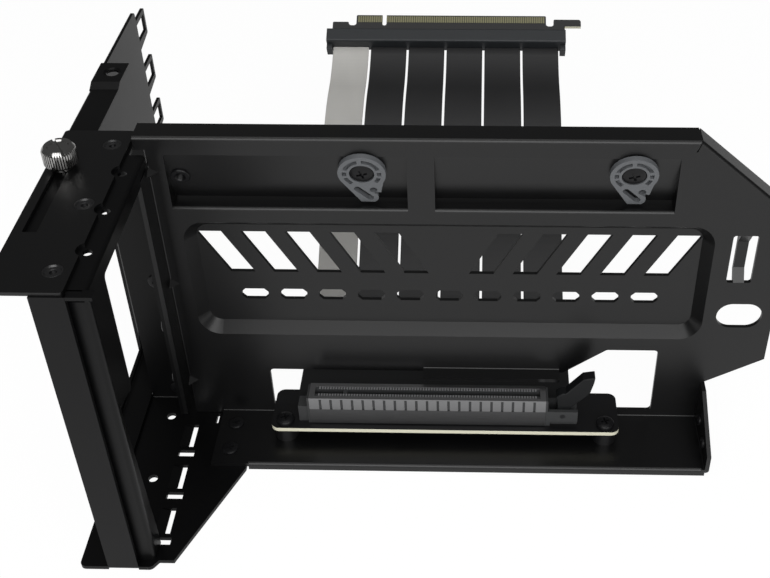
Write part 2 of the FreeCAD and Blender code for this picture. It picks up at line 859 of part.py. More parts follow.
def rear_slot_bracket():
    plate = slab("YZ", -rear_outer_face, -rear_inner_face, [
        (rear_near, floor_level), (rear_far, floor_level, 2.0), (rear_far, rear_top - 2), (rear_near, rear_top - 2)])
    rim = slab("YZ", -rear_outer_face, -rear_inner_face, [
        (rear_flange_end, rear_top - 3), (rear_far, rear_top - 3), (rear_far, rear_top, 1.5),
        (rear_flange_end, rear_top)])
    top_arm = rear_arm(rear_top - frame_sheet, rear_top, False)
    low_arm = rear_arm(slide_gap, slide_gap + frame_sheet, True)
    tab_start = rear_flange_end
    tab_low = rear_top - frame_sheet + end_tab_rise
    tab = slab("YZ", -rear_outer_face, -rear_inner_face + rear_flange_width, [
        (tab_start - 3, rear_top - frame_sheet), (tab_start - 2, rear_top - frame_sheet),
        (tab_start + 1, tab_low), (tab_start + end_tab_length, tab_low),
        (tab_start + end_tab_length, tab_low + frame_sheet), (tab_start + 0.4, tab_low + frame_sheet),
        (tab_start - 2.6, rear_top), (tab_start - 3, rear_top)])
    ears, windows = zip(*[rear_ear(i) for i in range(ear_count)])
    bracket = joined([plate, rim, top_arm, low_arm, tab] + list(ears))
    hole_x = -rear_inner_face + rear_flange_width / 2
    hole_y = tab_start + end_tab_length / 2 + 0.5
    cutters = list(windows)
    sink_low = tab_low + frame_sheet - end_tab_sink_depth
    cutters.append(Part.makeCone(end_tab_sink - end_tab_sink_depth, end_tab_sink, end_tab_sink_depth,
                                 Vector(hole_x, hole_y, sink_low)))
    cutters.append(rod(hole_x, hole_y, tab_low - 1, end_tab_hole, 4 * frame_sheet, Vector(0, 0, 1)))
    cutters.append(rod(-adjust_line, thumb_place, rear_top - 4, thumb_thread + fit_gap, 8, Vector(0, 0, 1)))
    return bracket.cut(cutters)


def thumbscrew():
    base = plate_top + slide_gap
    bottom = rear_top - frame_sheet - nut_height - 1 - base
    collar_top = thumb_collar_height
    head_top = collar_top + thumb_height
    body = turned([(0, bottom), (thumb_thread, bottom), (thumb_thread, 0), (thumb_collar, 0),
                   (thumb_collar, collar_top), (thumb_radius - thumb_chamfer, collar_top),
                   (thumb_radius, collar_top + thumb_chamfer), (thumb_radius, head_top - thumb_chamfer),
                   (thumb_radius - thumb_chamfer, head_top), (0, head_top)])
    rim = thumb_radius + knurl_depth
    groove = slab("XY", collar_top + knurl_margin, head_top - knurl_margin, [
        (thumb_radius - knurl_depth, 0), (rim, 2 * knurl_depth), (rim, -2 * knurl_depth)])
    grooves = []
    for i in range(knurl_count):
        turned_groove = groove.copy()
        turned_groove.rotate(Vector(0, 0, 0), Vector(0, 0, 1), 360 * i / knurl_count)
        grooves.append(turned_groove)
    slot = block(-2 * thumb_radius, 2 * thumb_radius, -thumb_slot / 2, thumb_slot / 2,
                 head_top - thumb_slot_depth, head_top + 1)
    slot.rotate(Vector(0, 0, 0), Vector(0, 0, 1), -40)
    return seated(body.cut(grooves + [slot]), Vector(-adjust_line, thumb_place, base), Vector(0, 0, 1))


def clamp_nut():
    """The threaded bush pressed under the top arm of the rear bracket."""
    top = rear_top - frame_sheet
    nut = rod(-adjust_line, thumb_place, top - nut_height, nut_radius, nut_height, Vector(0, 0, 1))
    return nut.cut(rod(-adjust_line, thumb_place, top - 2 * nut_height, thumb_thread + fit_gap, 3 * nut_height,
                       Vector(0, 0, 1)))


# Fasteners of the holder

def top_plate_screws():
    sunk = screw(sunk_head_radius, sunk_head_height, small_shank, plate_screw_length)
    return [seated(sunk, Vector(-plate_screw_line, y, plate_top - sunk_head_height), Vector(0, 0, 1))
            for y in plate_screw_places]


def panel_screws():
    """Screws from outside the frame into the panel's side flange."""
    pan = screw(pan_head_radius, pan_head_height, small_shank, panel_sheet + frame_sheet)
    outside = -panel_sheet - frame_sheet
    return [seated(pan, Vector(outside, y, z), Vector(-1, 0, 0)) for y, z in side_screw_places()]


def base_screws():
    pan = screw(pan_head_radius, low_head_height, small_shank, 2 * panel_sheet)
    return [seated(pan, Vector(x, y, panel_sheet), Vector(0, 0, 1)) for x, y in base_screw_places()]


def wall_screws():
    """Screws in the wall that stands up at the back of the foot."""
    pan = screw(pan_head_radius, low_head_height, small_shank, panel_sheet)
    return [seated(pan, Vector(wall_screw_line, foot_back - panel_sheet, z), Vector(0, -1, 0))
            for z in wall_screw_heights]


def end_rivets():
    rivet = screw(rivet_head_radius, rivet_head_height, small_shank + fit_gap, panel_sheet)
    return [seated(rivet, Vector(base_length, y, z), Vector(-1, 0, 0)) for y, z in end_rivet_places]


def louvre_insert():
    """The threaded bush pressed into the left flap."""
    outer = insert_radius + insert_wall
    rim = outer + insert_wall
    low = -panel_sheet - insert_rim
    bush = screw(rim, insert_rim, outer, -low)
    bush = bush.cut(rod(0, 0, 2 * low, insert_radius, -4 * low, Vector(0, 0, 1)))
    standing = seated(bush, Vector(0, 0, 0), Vector(0, -1, 0))
    standing.Placement = on_flap(insert_place[0], insert_place[1]).multiply(standing.Placement)
    return standing


# Cable clips

def clip_pocket(start, end):
    """One pocket between the hub and the rim, from one angle to another in degrees."""
    turns = [math.radians(start), math.radians((start + end) / 2), math.radians(end)]
    reach = clip_radius - clip_rim
    outer = [(reach * math.cos(turn), reach * math.sin(turn)) for turn in turns]
    inner = [(clip_hub * math.cos(turn), clip_hub * math.sin(turn)) for turn in reversed(turns)]
    return slab("XZ", -2 * clip_thickness, -clip_floor, outer + inner)


def cable_clip(x):
    """A ring round its screw with a tail that ends in an open hook."""
    front = -clip_thickness
    deep = -2 * clip_hook
    tail = clip_tail_half
    neck = 0.84 * clip_radius
    disc = rod(0, front, 0, clip_radius, clip_thickness, Vector(0, 1, 0))
    tongue = slab("XZ", front, 0, [(-neck, -clip_radius / 2), (-tail, -clip_tail), (tail, -clip_tail),
                                   (neck, -clip_radius / 2)])
    wide = tail + (neck - tail) * (clip_tail - clip_neck) / (clip_tail - clip_radius / 2)
    hook = slab("XZ", -clip_hook, 0, [(-wide, -clip_neck), (-tail, -clip_tail), (tail, -clip_tail),
                                      (wide, -clip_neck)])
    clip = joined([disc, tongue, hook])
    arcs = [(96, 144), (36, 84), (152, 200), (-20, 28), (208, 240), (-60, -28)]
    cutters = [clip_pocket(start, end) for start, end in arcs]
    cutters.append(slab("XZ", deep, -clip_floor, [
        (-tail + 1, -clip_neck), (-tail + 1 + clip_groove_width, -clip_neck),
        (-tail + 1 + clip_groove_width + clip_groove_lean, -clip_mouth_low),
        (-tail + 1 + clip_groove_lean, -clip_mouth_low)]))
    cutters.append(slab("XZ", deep, 1, [
        (tail - 1, -clip_neck), (tail + clip_mouth, -clip_neck), (2 * tail, -clip_mouth_low),
        (tail, -clip_mouth_low), (tail - 1, -clip_mouth_low + clip_mouth)]))
    cutters.append(rod(0, deep, 0, clip_shank + fit_gap, 2 * clip_hook + 1, Vector(0, 1, 0)))
    cutters.append(rod(0, deep, 0, clip_screw_radius + 2 * fit_gap, -deep - clip_thickness + clip_seat,
                       Vector(0, 1, 0)))
    clip = clip.cut(cutters)
    clip.translate(Vector(0, -slide_gap, 0))
    clip.Placement = on_flap(x, clip_drop).multiply(clip.Placement)
    return clip


def clip_screws():
    seat = clip_thickness - clip_seat + 2 * slide_gap
    pan = screw(clip_screw_radius, clip_head_height, clip_shank, seat + panel_sheet + 1)
    screws = []
    for x in clip_places:
        standing = seated(pan, Vector(0, -seat, 0), Vector(0, -1, 0))
        standing.Placement = on_flap(x, clip_drop).multiply(standing.Placement)
        screws.append(standing)
    return screws


# Riser board and slot

def board_screw_places():
    return [board_start + board_screw_inset, board_start + board_length - board_screw_inset]


def riser_board():
    low = board_top - board_sheet
    board = slab("XY", low, board_top, rectangle(board_start, board_start + board_length, -board_front,
                                                 board_width - board_front, board_corner))
    return board.cut([screw_hole(Vector(x, board_screw_line, low), Vector(0, 0, 1), 2 * board_sheet)
                      for x in board_screw_places()])


def board_standoffs():
    height = board_top - board_sheet - panel_sheet
    posts = []
    for x in board_screw_places():
        post = rod(x, board_screw_line, panel_sheet, standoff_radius, height, Vector(0, 0, 1))
        posts.append(post.cut(screw_hole(Vector(x, board_screw_line, panel_sheet), Vector(0, 0, 1), 2 * height)))
    return posts


def board_screws():
    pan = screw(board_head_radius, pan_head_height, small_shank, board_top)
    return [seated(pan, Vector(x, board_screw_line, board_top), Vector(0, 0, 1)) for x in board_screw_places()]


def slot_housing():
    """The card-edge socket's body: a channel with a key, and a fork for its latch."""
    half = slot_width / 2
    body = block(slot_start, slot_end, slot_line - half, slot_line + half, board_top, slot_top)
    fork = block(slot_end, slot_end + fork_length, slot_line - half, slot_line + half, board_top,
                 board_top + fork_height)
    foot = block(slot_start - 3.6, slot_start, slot_line - half + 1, slot_line + half - 1, board_top,
                 board_top + 0.6 * slot_height)
    housing = joined([body, fork, foot])
    floor = slot_top - slot_cavity_depth
    cavity_half = slot_cavity_width / 2
    key = cavity_start + key_middle - slot_key / 2
    cavity_end = cavity_start + card_edge_length
    cutters = [block(cavity_start, key, slot_line - cavity_half, slot_line + cavity_half, floor, slot_top + 1),
               block(key + slot_key, cavity_end, slot_line - cavity_half, slot_line + cavity_half, floor,
                     slot_top + 1)]
    gap = latch_width / 2 + 2 * fit_gap
    cutters.append(block(slot_end + 0.6, slot_end + fork_length + 1, slot_line - gap, slot_line + gap,
                         board_top + 1.2, slot_top + 1))
    recess = fork_recess / 2
    cutters.append(block(slot_end + recess, slot_end + fork_length, slot_line - slot_width, slot_line - half + recess,
                         board_top, board_top + fork_recess))
    pin = latch_pivot()
    cutters.append(rod(pin.x, slot_line - half - 1, pin.z, latch_pin_radius, slot_width + 2, Vector(0, 1, 0)))
    return housing.cut(cutters)


def latch_pivot():
    return Vector(slot_end + 0.5 * fork_length, slot_line, board_top + latch_pin_height)


def latch_pin():
    pin = latch_pivot()
    return rod(pin.x, slot_line - slot_width / 2, pin.z, latch_pin_radius, slot_width, Vector(0, 1, 0))


def slot_latch():
    """The lever at the slot's end, which hooks the card and is pressed down to let it go."""
    pin = latch_pivot()
    half = latch_width / 2
    lever = slab("XZ", slot_line - half, slot_line + half, [
        (pin.x - 2.0, pin.z - 1.8), (pin.x + 2.6, pin.z - 1.8), (pin.x + 3.2, pin.z + 3.2),
        (pin.x + latch_reach, pin.z + latch_rise), (pin.x + latch_reach - 0.8, pin.z + latch_rise + 1.4),
        (pin.x + 1.0, pin.z + 6.2), (pin.x - 0.4, pin.z + latch_rise), (pin.x - 2.6, pin.z + latch_rise - 1.4),
        (pin.x - 2.0, pin.z + 4.0)])
    return lever.cut(rod(pin.x, slot_line - half - 1, pin.z, latch_pin_radius + fit_gap, latch_width + 2,
                         Vector(0, 1, 0)))


def slot_shield():
    """The thin metal jacket round the slot, with a row of narrow slits on both sides."""
    half = slot_width / 2
    start = slot_start + shield_margin
    end = slot_end - shield_margin
    low = board_top + shield_foot_gap
    sheet = shield_sheet
    walls = []
    for side in (-1, 1):
        inner = slot_line + side * half
        outer = slot_line + side * (half + sheet)
        walls.append(block(start, end, min(inner, outer), max(inner, outer), low, slot_top))
    for side in (-1, 1):
        outer = slot_line + side * (half + sheet)
        inner = slot_line + side * (half - shield_lip)
        walls.append(block(start, end, min(inner, outer), max(inner, outer), slot_top, slot_top + sheet))
    for near in (start, end - shield_bridge):
        walls.append(block(near, near + shield_bridge, slot_line - half, slot_line + half, slot_top,
                           slot_top + sheet))
    shield = joined(walls)
    count = int((end - start - 1) // shield_pitch)
    first = (start + end) / 2 - (count - 1) * shield_pitch / 2
    cutters = []
    for i in range(count):
        x = first + i * shield_pitch
        cutters.append(block(x - shield_slit / 2, x + shield_slit / 2, slot_line - 2 * half, slot_line + 2 * half,
                             board_top + shield_slit_low, board_top + shield_slit_high))
    return shield.cut(cutters)


def ribbon_anchor(strips):
    """The moulded cover over the ribbon's start, which clamps the strips to the back of the riser board."""
    start = strip_start - anchor_margin
    end = strip_start + strip_count * strip_width + (strip_count - 1) * strip_gap + anchor_margin
    top = board_top + anchor_height
    cover = block(start, end, anchor_front, strip_route[0][0], board_top, top)
    return cover.cut(strips)


# Ribbon and its card-edge connector

def strip_path():
    """The strips' middle line: straight runs joined by arcs as large as the runs allow."""
    corners = [Vector(0, y, z) for y, z in strip_route]
    edges = []
    here = corners[0]
    for before, corner, after in zip(corners, corners[1:], corners[2:]):
        back = before - corner
        ahead = after - corner
        run = 0.45 * min(back.Length, ahead.Length)
        turn = math.pi - back.getAngle(ahead)
        radius = run / math.tan(turn / 2)
        print("ribbon bend radius", round(radius, 1))
        start = corner + back.normalize() * run
        end = corner + ahead.normalize() * run
        inward = (back + ahead).normalize()
        middle = corner + inward * (radius / math.cos(turn / 2) - radius)
        edges.append(Part.LineSegment(here, start).toShape())
        edges.append(Part.Arc(start, middle, end).toShape())
        here = end
    edges.append(Part.LineSegment(here, corners[-1]).toShape())
    return edges


def strip_section():
    """The side view of one strip: every piece of its path given the strip's thickness."""
    half = strip_sheet / 2
    upper = []
    lower = []
    for edge in strip_path():
        for offsets, side in ((upper, half), (lower, -half)):
            points = []
            for share in (0.0, 0.5, 1.0):
                at = edge.FirstParameter + share * (edge.LastParameter - edge.FirstParameter)
                along = edge.tangentAt(at)
                points.append(edge.valueAt(at) + Vector(0, -along.z, along.y) * side)
            if edge.Curve.TypeId == "Part::GeomLine":
                offsets.append(Part.LineSegment(points[0], points[2]).toShape())
            else:
                offsets.append(Part.Arc(points[0], points[1], points[2]).toShape())
    start = Part.LineSegment(lower[0].Vertexes[0].Point, upper[0].Vertexes[0].Point).toShape()
    end = Part.LineSegment(upper[-1].Vertexes[-1].Point, lower[-1].Vertexes[-1].Point).toShape()
    return Part.Face(Part.Wire([start] + upper + [end] + lower[::-1]))


def ribbon_strip(section, index):
    strip = section.extrude(Vector(strip_width, 0, 0))
    strip.translate(Vector(strip_start + index * (strip_width + strip_gap), 0, 0))
    return strip


def at_ribbon_end(shape):
    """Move a piece whose local Y runs on along the ribbon from its end."""
    last = Vector(0, strip_route[-1][0], strip_route[-1][1])
    before = Vector(0, strip_route[-2][0], strip_route[-2][1])
    moved = shape.copy()
    moved.Placement = Placement(last, Rotation(Vector(0, 1, 0), last - before))
    return moved


def edge_housing():
    """The moulded body over the ribbon's end, with a leg at each side."""
    end = edge_start + edge_length
    low = -edge_housing_below
    high = edge_housing_above
    body = slab("YZ", edge_start, end, [
        (0, low, 0.6), (edge_housing_depth, low, 0.6), (edge_housing_depth, high, 0.6), (0, high, 1.0)])
    legs = [slab("YZ", start, start + edge_leg, [
        (-edge_leg_length, low, 0.5), (edge_housing_depth / 2, low), (edge_housing_depth / 2, high / 2),
        (-edge_leg_length, high / 2, 0.5)]) for start in (edge_start, end - edge_leg)]
    return at_ribbon_end(joined([body] + legs))


def edge_board():
    """The card edge that stands out of the housing, with its key, its corner notches and its hook."""
    half = edge_board_sheet / 2
    root = edge_housing_depth
    tip = root + edge_board_depth
    notch = root + edge_notch_level
    shoulder = root + edge_shoulder_level
    hook = root + hook_level
    housing_end = edge_start + edge_length
    end = tongue_start + card_edge_length
    left = tongue_start - edge_notch_width
    right = end + edge_notch_width
    key = tongue_start + key_middle - edge_key / 2
    r = 1.2
    board = slab("XY", -half, half, [
        (left - edge_shoulder, root), (housing_end, root), (housing_end, notch), (hook_end, notch),
        (hook_end, hook, r), (right, hook, r / 2), (right, notch, r), (end, notch, r), (end, tip, r / 2),
        (tongue_start, tip, r / 2), (tongue_start, notch, r), (left, notch, r), (left, shoulder, r / 2),
        (left - edge_shoulder, shoulder, r / 2)])
    slit = slab("XY", -edge_board_sheet, edge_board_sheet, [
        (key, notch, 0.9), (key + edge_key, notch, 0.9), (key + edge_key, tip + 1), (key, tip + 1)])
    return at_ribbon_end(board.cut(slit))


def contact_places(start):
    """Middles of the contacts along a card edge, with the gap at its key."""
    places = []
    for i in range(contact_count):
        gap = 0 if i < contacts_before_key else key_room
        places.append(start + contact_first + i * contact_pitch + gap)
    return places


def edge_contacts():
    """Flat contact fingers on both faces of the card edge."""
    tip = edge_housing_depth + edge_board_depth
    half = edge_board_sheet / 2
    fingers = []
    for x in contact_places(tongue_start):
        for low in (half, -half - finger_sheet):
            finger = block(x - finger_width / 2, x + finger_width / 2, tip - 0.6 - finger_length, tip - 0.6,
                           low, low + finger_sheet)
            fingers.append(at_ribbon_end(finger))
    return fingers


def export(name, shapes):
    """Write one piece, or a group of like pieces, where it stands in the finished frame."""
    group = shapes if isinstance(shapes, list) else [shapes]
    moved = [solid.copy() for shape in group for solid in shape.Solids]
    for solid in moved:
        solid.translate(STAND)
        if solid.Volume <= 0 or not solid.isValid():
            print("check the solid of", name, solid.Volume, solid.isValid())
    whole = moved[0] if len(moved) == 1 else Part.makeCompound(moved)
    whole.exportStep(os.path.join("parts", name + ".step"))
    print(name, len(moved), round(whole.Volume, 1))


def main():
    os.makedirs("parts", exist_ok=True)
    section = strip_section()
    strips = [ribbon_strip(section, i) for i in range(strip_count)]
    pieces = {
        "main_panel": main_panel(), "card_frame": card_frame(), "foot_bracket": foot_bracket(),
        "top_plate": top_plate(), "rear_slot_bracket": rear_slot_bracket(), "thumbscrew": thumbscrew(),
        "clamp_nut": clamp_nut(), "top_plate_screws": top_plate_screws(), "panel_screws": panel_screws(),
        "base_screws": base_screws(), "wall_screws": wall_screws(), "end_rivets": end_rivets(),
        "louvre_insert": louvre_insert(),
        "left_cable_clip": cable_clip(clip_places[0]), "right_cable_clip": cable_clip(clip_places[1]),
        "clip_screws": clip_screws(), "riser_board": riser_board(), "board_standoffs": board_standoffs(),
        "board_screws": board_screws(), "slot_housing": slot_housing(), "slot_shield": slot_shield(),
        "slot_latch": slot_latch(), "latch_pin": latch_pin(),
        "ribbon_anchor": ribbon_anchor(strips), "edge_housing": edge_housing(), "edge_board": edge_board(),
        "edge_contacts": edge_contacts()}
    for i, strip in enumerate(strips):
        pieces["ribbon_strip_%d" % (i + 1)] = strip
    for name, shapes in pieces.items():
        export(name, shapes)


main()
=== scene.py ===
import math

import bmesh
import bpy
from bpy.props import FloatProperty, FloatVectorProperty, IntProperty, PointerProperty
from mathutils import Matrix, Vector


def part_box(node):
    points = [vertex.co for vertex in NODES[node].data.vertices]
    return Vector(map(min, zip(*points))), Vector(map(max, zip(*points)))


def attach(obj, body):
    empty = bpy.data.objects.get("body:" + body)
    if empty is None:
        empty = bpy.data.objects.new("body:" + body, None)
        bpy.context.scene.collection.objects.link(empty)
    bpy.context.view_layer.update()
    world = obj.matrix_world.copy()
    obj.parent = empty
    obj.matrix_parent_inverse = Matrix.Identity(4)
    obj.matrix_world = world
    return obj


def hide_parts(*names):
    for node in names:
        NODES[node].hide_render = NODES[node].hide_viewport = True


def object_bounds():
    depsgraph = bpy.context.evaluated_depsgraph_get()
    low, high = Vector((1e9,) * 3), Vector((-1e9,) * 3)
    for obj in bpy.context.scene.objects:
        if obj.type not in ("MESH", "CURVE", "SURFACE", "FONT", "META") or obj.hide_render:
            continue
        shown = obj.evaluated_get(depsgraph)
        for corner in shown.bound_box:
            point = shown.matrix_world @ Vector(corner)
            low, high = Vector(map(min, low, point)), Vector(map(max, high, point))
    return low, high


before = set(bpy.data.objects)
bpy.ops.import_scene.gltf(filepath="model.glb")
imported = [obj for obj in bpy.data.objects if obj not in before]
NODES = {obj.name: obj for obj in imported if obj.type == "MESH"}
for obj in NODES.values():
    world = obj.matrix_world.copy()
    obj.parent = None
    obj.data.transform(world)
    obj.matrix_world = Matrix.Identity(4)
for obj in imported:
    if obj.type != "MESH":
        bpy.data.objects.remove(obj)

bl_info = {
    "name": "Upright Card Holder",
    "version": (1, 0, 0),
    "blender": (4, 5, 0),
    "location": "View3D > Sidebar > Holder",
    "description": "Dresses a folded sheet-metal card holder, its riser slot and its ribbon",
    "category": "Object",
}

CAD_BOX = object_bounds()
PHOTO_WIDTH = 770
PHOTO_HEIGHT = 578

# The ribbon's side route as (Y, Z) points, the same for every strip
STRIP_ROUTE = [(-0.0077, 0.0127), (0.0173, 0.0147), (0.0503, 0.0280), (0.0758, 0.0565),
               (0.1003, 0.0675), (0.1229, 0.0691), (0.1348, 0.0758)]
STRIP_NAMES = ["ribbon_strip_%d" % (i + 1) for i in range(6)]

# CAD nodes by finish
GLOSSY_SHEETS = ["main_panel", "top_plate"]
DULL_SHEETS = ["card_frame", "foot_bracket"]
CLIPS = ["left_cable_clip", "right_cable_clip"]
BLACK_MOULDINGS = ["latch_pin", "ribbon_anchor"]
FLAP_OUT = Vector((0.0, -math.cos(math.radians(15.0)), -math.sin(math.radians(15.0))))
FLAP_UP = Vector((0.0, FLAP_OUT.z, -FLAP_OUT.y))
ALONG = Vector((1.0, 0.0, 0.0))
FRONT = Vector((0.0, -1.0, 0.0))
UP = Vector((0.0, 0.0, 1.0))
SHIELD_BAND_TOP = 0.0172
TOOTH_DEPTH = 0.0012
TOOTH_DROP = 0.0012
TOOTH_OFFSET = 0.0019
TOOTH_SINK = 0.00005

# A cable clip seen from the front, in millimetres from its screw: tail and barb, groove, and hole
CLIP_TAIL = [(-1.0, -13.6), (3.7, -13.6), (4.7, -12.4), (4.9, -11.2), (4.6, -9.9), (3.4, -9.2), (4.6, -8.6),
             (5.8, -8.9), (6.75, -4.1)]
CLIP_RING = (-30, 205)
CLIP_GROOVE = [(-1.95, -7.2), (2.1, -11.5)]
CLIP_EYE = (3.4, -7.7)
CLIP_POCKETS = [(102, 162), (20, 88), (172, 190), (-9, 7), (199, 232), (-42, -18)]

# The latch seen from the front, in millimetres from its pin
LATCH_OUTLINE = [(-2.0, -1.8), (2.6, -1.8), (3.2, 3.2), (8.6, 8.8), (9.6, 10.4), (10.7, 15.1), (11.0, 17.8),
                 (6.7, 17.0), (0.9, 9.9), (-0.4, 9.8), (-2.6, 8.4), (-2.0, 4.0)]

# The turned-over nose at the front end of the card frame's ledge
NOSE_LOW = Vector((-0.0969, -0.0935, 0.1173))
NOSE_HIGH = Vector((-0.0889, -0.0902, 0.1185))

# Directions that the heads of the screws point in, by CAD node
SCREW_DIRECTIONS = {"panel_screws": Vector((-1.0, 0.0, 0.0)), "base_screws": UP, "board_screws": UP,
                    "wall_screws": Vector((0.0, -1.0, 0.0)), "clip_screws": FLAP_OUT}


def colour_property(name, description, default):
    return FloatVectorProperty(name=name, description=description, default=default, size=3, min=0.0, max=1.0,
                               subtype="COLOR")


class HolderFinish(bpy.types.PropertyGroup):
    """Colours and gloss of the holder's materials."""

    sheet: colour_property("Sheet", "Black powder coat of the folded sheets", (0.0022, 0.0022, 0.0024))
    # The rear bracket's coat is the same black powder coat made lighter: the lift is painted light, standing in for
    # light falling on the bracket's side
    rear_sheet_painted_light: colour_property("Rear sheet", "Powder coat of the rear slot bracket", (0.0030, 0.0030, 0.0032))
    sheet_roughness: FloatProperty(name="Sheet roughness", description="Roughness of the powder coat",
                                   default=0.33, min=0.05, max=1.0)
    sheen: FloatProperty(name="Sheen", description="Specular level of the panel and the top plate", default=0.5,
                         min=0.0, max=1.0)
    dull_sheen: FloatProperty(name="Dull sheen", description="Specular level of the frame, foot and rear bracket",
                              default=0.22, min=0.0, max=1.0)
    glossy_sheen: FloatProperty(name="Glossy sheen", description="Specular level of the top plate's screws",
                                default=0.9, min=0.0, max=1.0)
    screw: colour_property("Screws", "Black oxide of the screws", (0.006, 0.006, 0.0065))
    nickel: colour_property("Nickel", "Plating of the thumbscrew and bushes", (0.42, 0.415, 0.405))
    shield: colour_property("Shield", "Bare steel jacket of the slot", (0.32, 0.32, 0.325))
    shield_band: colour_property("Shield band", "Dull lower band of the jacket", (0.11, 0.11, 0.112))
    gold: colour_property("Contacts", "Plating of the contacts", (0.25, 0.24, 0.145))
    clip: colour_property("Clips", "Moulded cable clips", (0.112, 0.117, 0.124))
    moulding: colour_property("Mouldings", "Slot and latch bodies", (0.006, 0.0065, 0.007))
    slot: colour_property("Slot", "Moulded body of the riser slot", (0.034, 0.035, 0.036))
    # The teeth's grey is partly their own tone and partly painted highlight, lifted so they stand out against the
    # shade in the slot's recess
    teeth: colour_property("Slot teeth", "Combs along the slot's rails", (0.19, 0.19, 0.193))
    connector: colour_property("Connector", "Moulded body of the card-edge connector", (0.020, 0.023, 0.026))
    mask: colour_property("Board mask", "Solder mask of the boards", (0.004, 0.004, 0.0045))
    laminate: colour_property("Board edge", "Bare laminate at a board's edge", (0.78, 0.76, 0.60))
    ribbon: colour_property("Ribbon", "Dark sleeve of the ribbon strips", (0.022, 0.022, 0.023))
    # The first strip's pale sleeve is a painted reflection: a lighter copy of the dark sleeve that stands in for
    # light reflecting off that strip
    pale_ribbon: colour_property("Pale strip", "Painted reflection on the first strip's sleeve", (0.64, 0.63, 0.60))


class HolderRibbon(bpy.types.PropertyGroup):
    """Sizes of the ribbon strips."""

    sheet: FloatProperty(name="Thickness", description="Thickness of one strip", default=0.0009, unit="LENGTH")
    rounding: FloatProperty(name="Edge rounding", description="Radius of a strip's long edges", default=0.00035,
                            unit="LENGTH")
    columns: IntProperty(name="Columns", description="Faces across one strip", default=8, min=2)
    resolution: IntProperty(name="Resolution", description="Steps per point of the route", default=10, min=2)


class HolderFasteners(bpy.types.PropertyGroup):
    """Sizes of the screws, the thumbscrew and the slot's contacts."""

    shank: FloatProperty(name="Shank", description="Radius of the small screws' shanks", default=0.0014,
                         unit="LENGTH")
    bush_bore: FloatProperty(name="Bush bore", description="Radius of the threaded hole in the bush",
                             default=0.0016, unit="LENGTH")
    thumb_head: FloatProperty(name="Thumbscrew head", description="Height of the thumbscrew's head",
                              default=0.0066, unit="LENGTH")
    thumb_collar: FloatProperty(name="Thumbscrew collar", description="Height of the collar under the head",
                                default=0.0012, unit="LENGTH")
    thumb_edge: FloatProperty(name="Thumbscrew edge", description="Width of the head's chamfers", default=0.0009,
                              unit="LENGTH")
    thumb_slot: FloatProperty(name="Thumbscrew slot", description="Width of the driver slot", default=0.0009,
                              unit="LENGTH")
    thumb_slot_depth: FloatProperty(name="Slot depth", description="Depth of the driver slot", default=0.0013,
                                    unit="LENGTH")
    knurls: IntProperty(name="Knurls", description="Grooves round the thumbscrew", default=42, min=6)
    knurl_depth: FloatProperty(name="Knurl depth", description="Depth of a groove", default=0.00034, unit="LENGTH")
    tooth_pitch: FloatProperty(name="Contact pitch", description="Distance between the slot's contacts",
                               default=0.001, unit="LENGTH")
    tooth_width: FloatProperty(name="Contact width", description="Width of one contact", default=0.00052,
                               unit="LENGTH")


class HolderClips(bpy.types.PropertyGroup):
    """Sizes of the cable clips and of the slot's latch."""

    ring: FloatProperty(name="Ring", description="Radius of a clip's ring", default=0.00785, unit="LENGTH")
    thickness: FloatProperty(name="Thickness", description="Thickness of a clip", default=0.0019, unit="LENGTH")
    seat: FloatProperty(name="Seat", description="Radius of the seat of a clip's screw", default=0.0041,
                        unit="LENGTH")
    floor: FloatProperty(name="Seat floor", description="Plastic left under the screw's head", default=0.0008,
                         unit="LENGTH")
    bore: FloatProperty(name="Bore", description="Radius of the hole for the screw", default=0.0020, unit="LENGTH")
    pocket: FloatProperty(name="Pocket", description="Width of the ring's pockets", default=0.0014, unit="LENGTH")
    pocket_line: FloatProperty(name="Pocket line", description="Radius of the line of pockets", default=0.0057,
                               unit="LENGTH")
    pocket_depth: FloatProperty(name="Pocket depth", description="Depth of the pockets", default=0.0014,
                                unit="LENGTH")
    groove: FloatProperty(name="Groove", description="Width of the slanted groove", default=0.0022, unit="LENGTH")
    eye: FloatProperty(name="Eye", description="Radius of the hole beside the barb", default=0.00125,
                       unit="LENGTH")
    rounding: FloatProperty(name="Rounding", description="Rounding of the moulded edges", default=0.00016,
                            unit="LENGTH")
    pin: FloatProperty(name="Latch pin", description="Radius of the latch's hole", default=0.00112, unit="LENGTH")


class HolderStage(bpy.types.PropertyGroup):
    """Camera, floor and lights."""

    camera_place: FloatVectorProperty(name="Camera", description="Where the camera stands", size=3,
                                      default=(0.017525, -0.338136, 0.322339), subtype="TRANSLATION")
    yaw: FloatProperty(name="Yaw", description="Camera's turn to the left", default=math.radians(1.5827),
                       subtype="ANGLE")
    pitch: FloatProperty(name="Pitch", description="Camera's look below the horizon",
                         default=math.radians(38.6185), subtype="ANGLE")
    roll: FloatProperty(name="Roll", description="Camera's lean", default=math.radians(-0.3585), subtype="ANGLE")
    focal_pixels: FloatProperty(name="Focal length", description="Focal length in picture pixels",
                                default=1174.24)
    middle: FloatVectorProperty(name="Optical centre", description="Pixel that the camera points at", size=2,
                                default=(456.47, 278.16))
    floor_side: FloatProperty(name="Floor", description="Side of the floor", default=40.0, unit="LENGTH")
    floor_tint: colour_property("Floor tint", "Colour of the pale floor", (0.90, 0.90, 0.90))
    floor_glow: FloatProperty(name="Floor glow", description="Share of the floor that stays plain white",
                              default=0.93, min=0.0, max=1.0)
    mirror_glow: FloatProperty(name="Mirrored glow", description="The same share, as glossy surfaces show it",
                               default=0.4, min=0.0, max=1.0)
    world_level: FloatProperty(name="World", description="Strength of the even light", default=0.10, min=0.0)


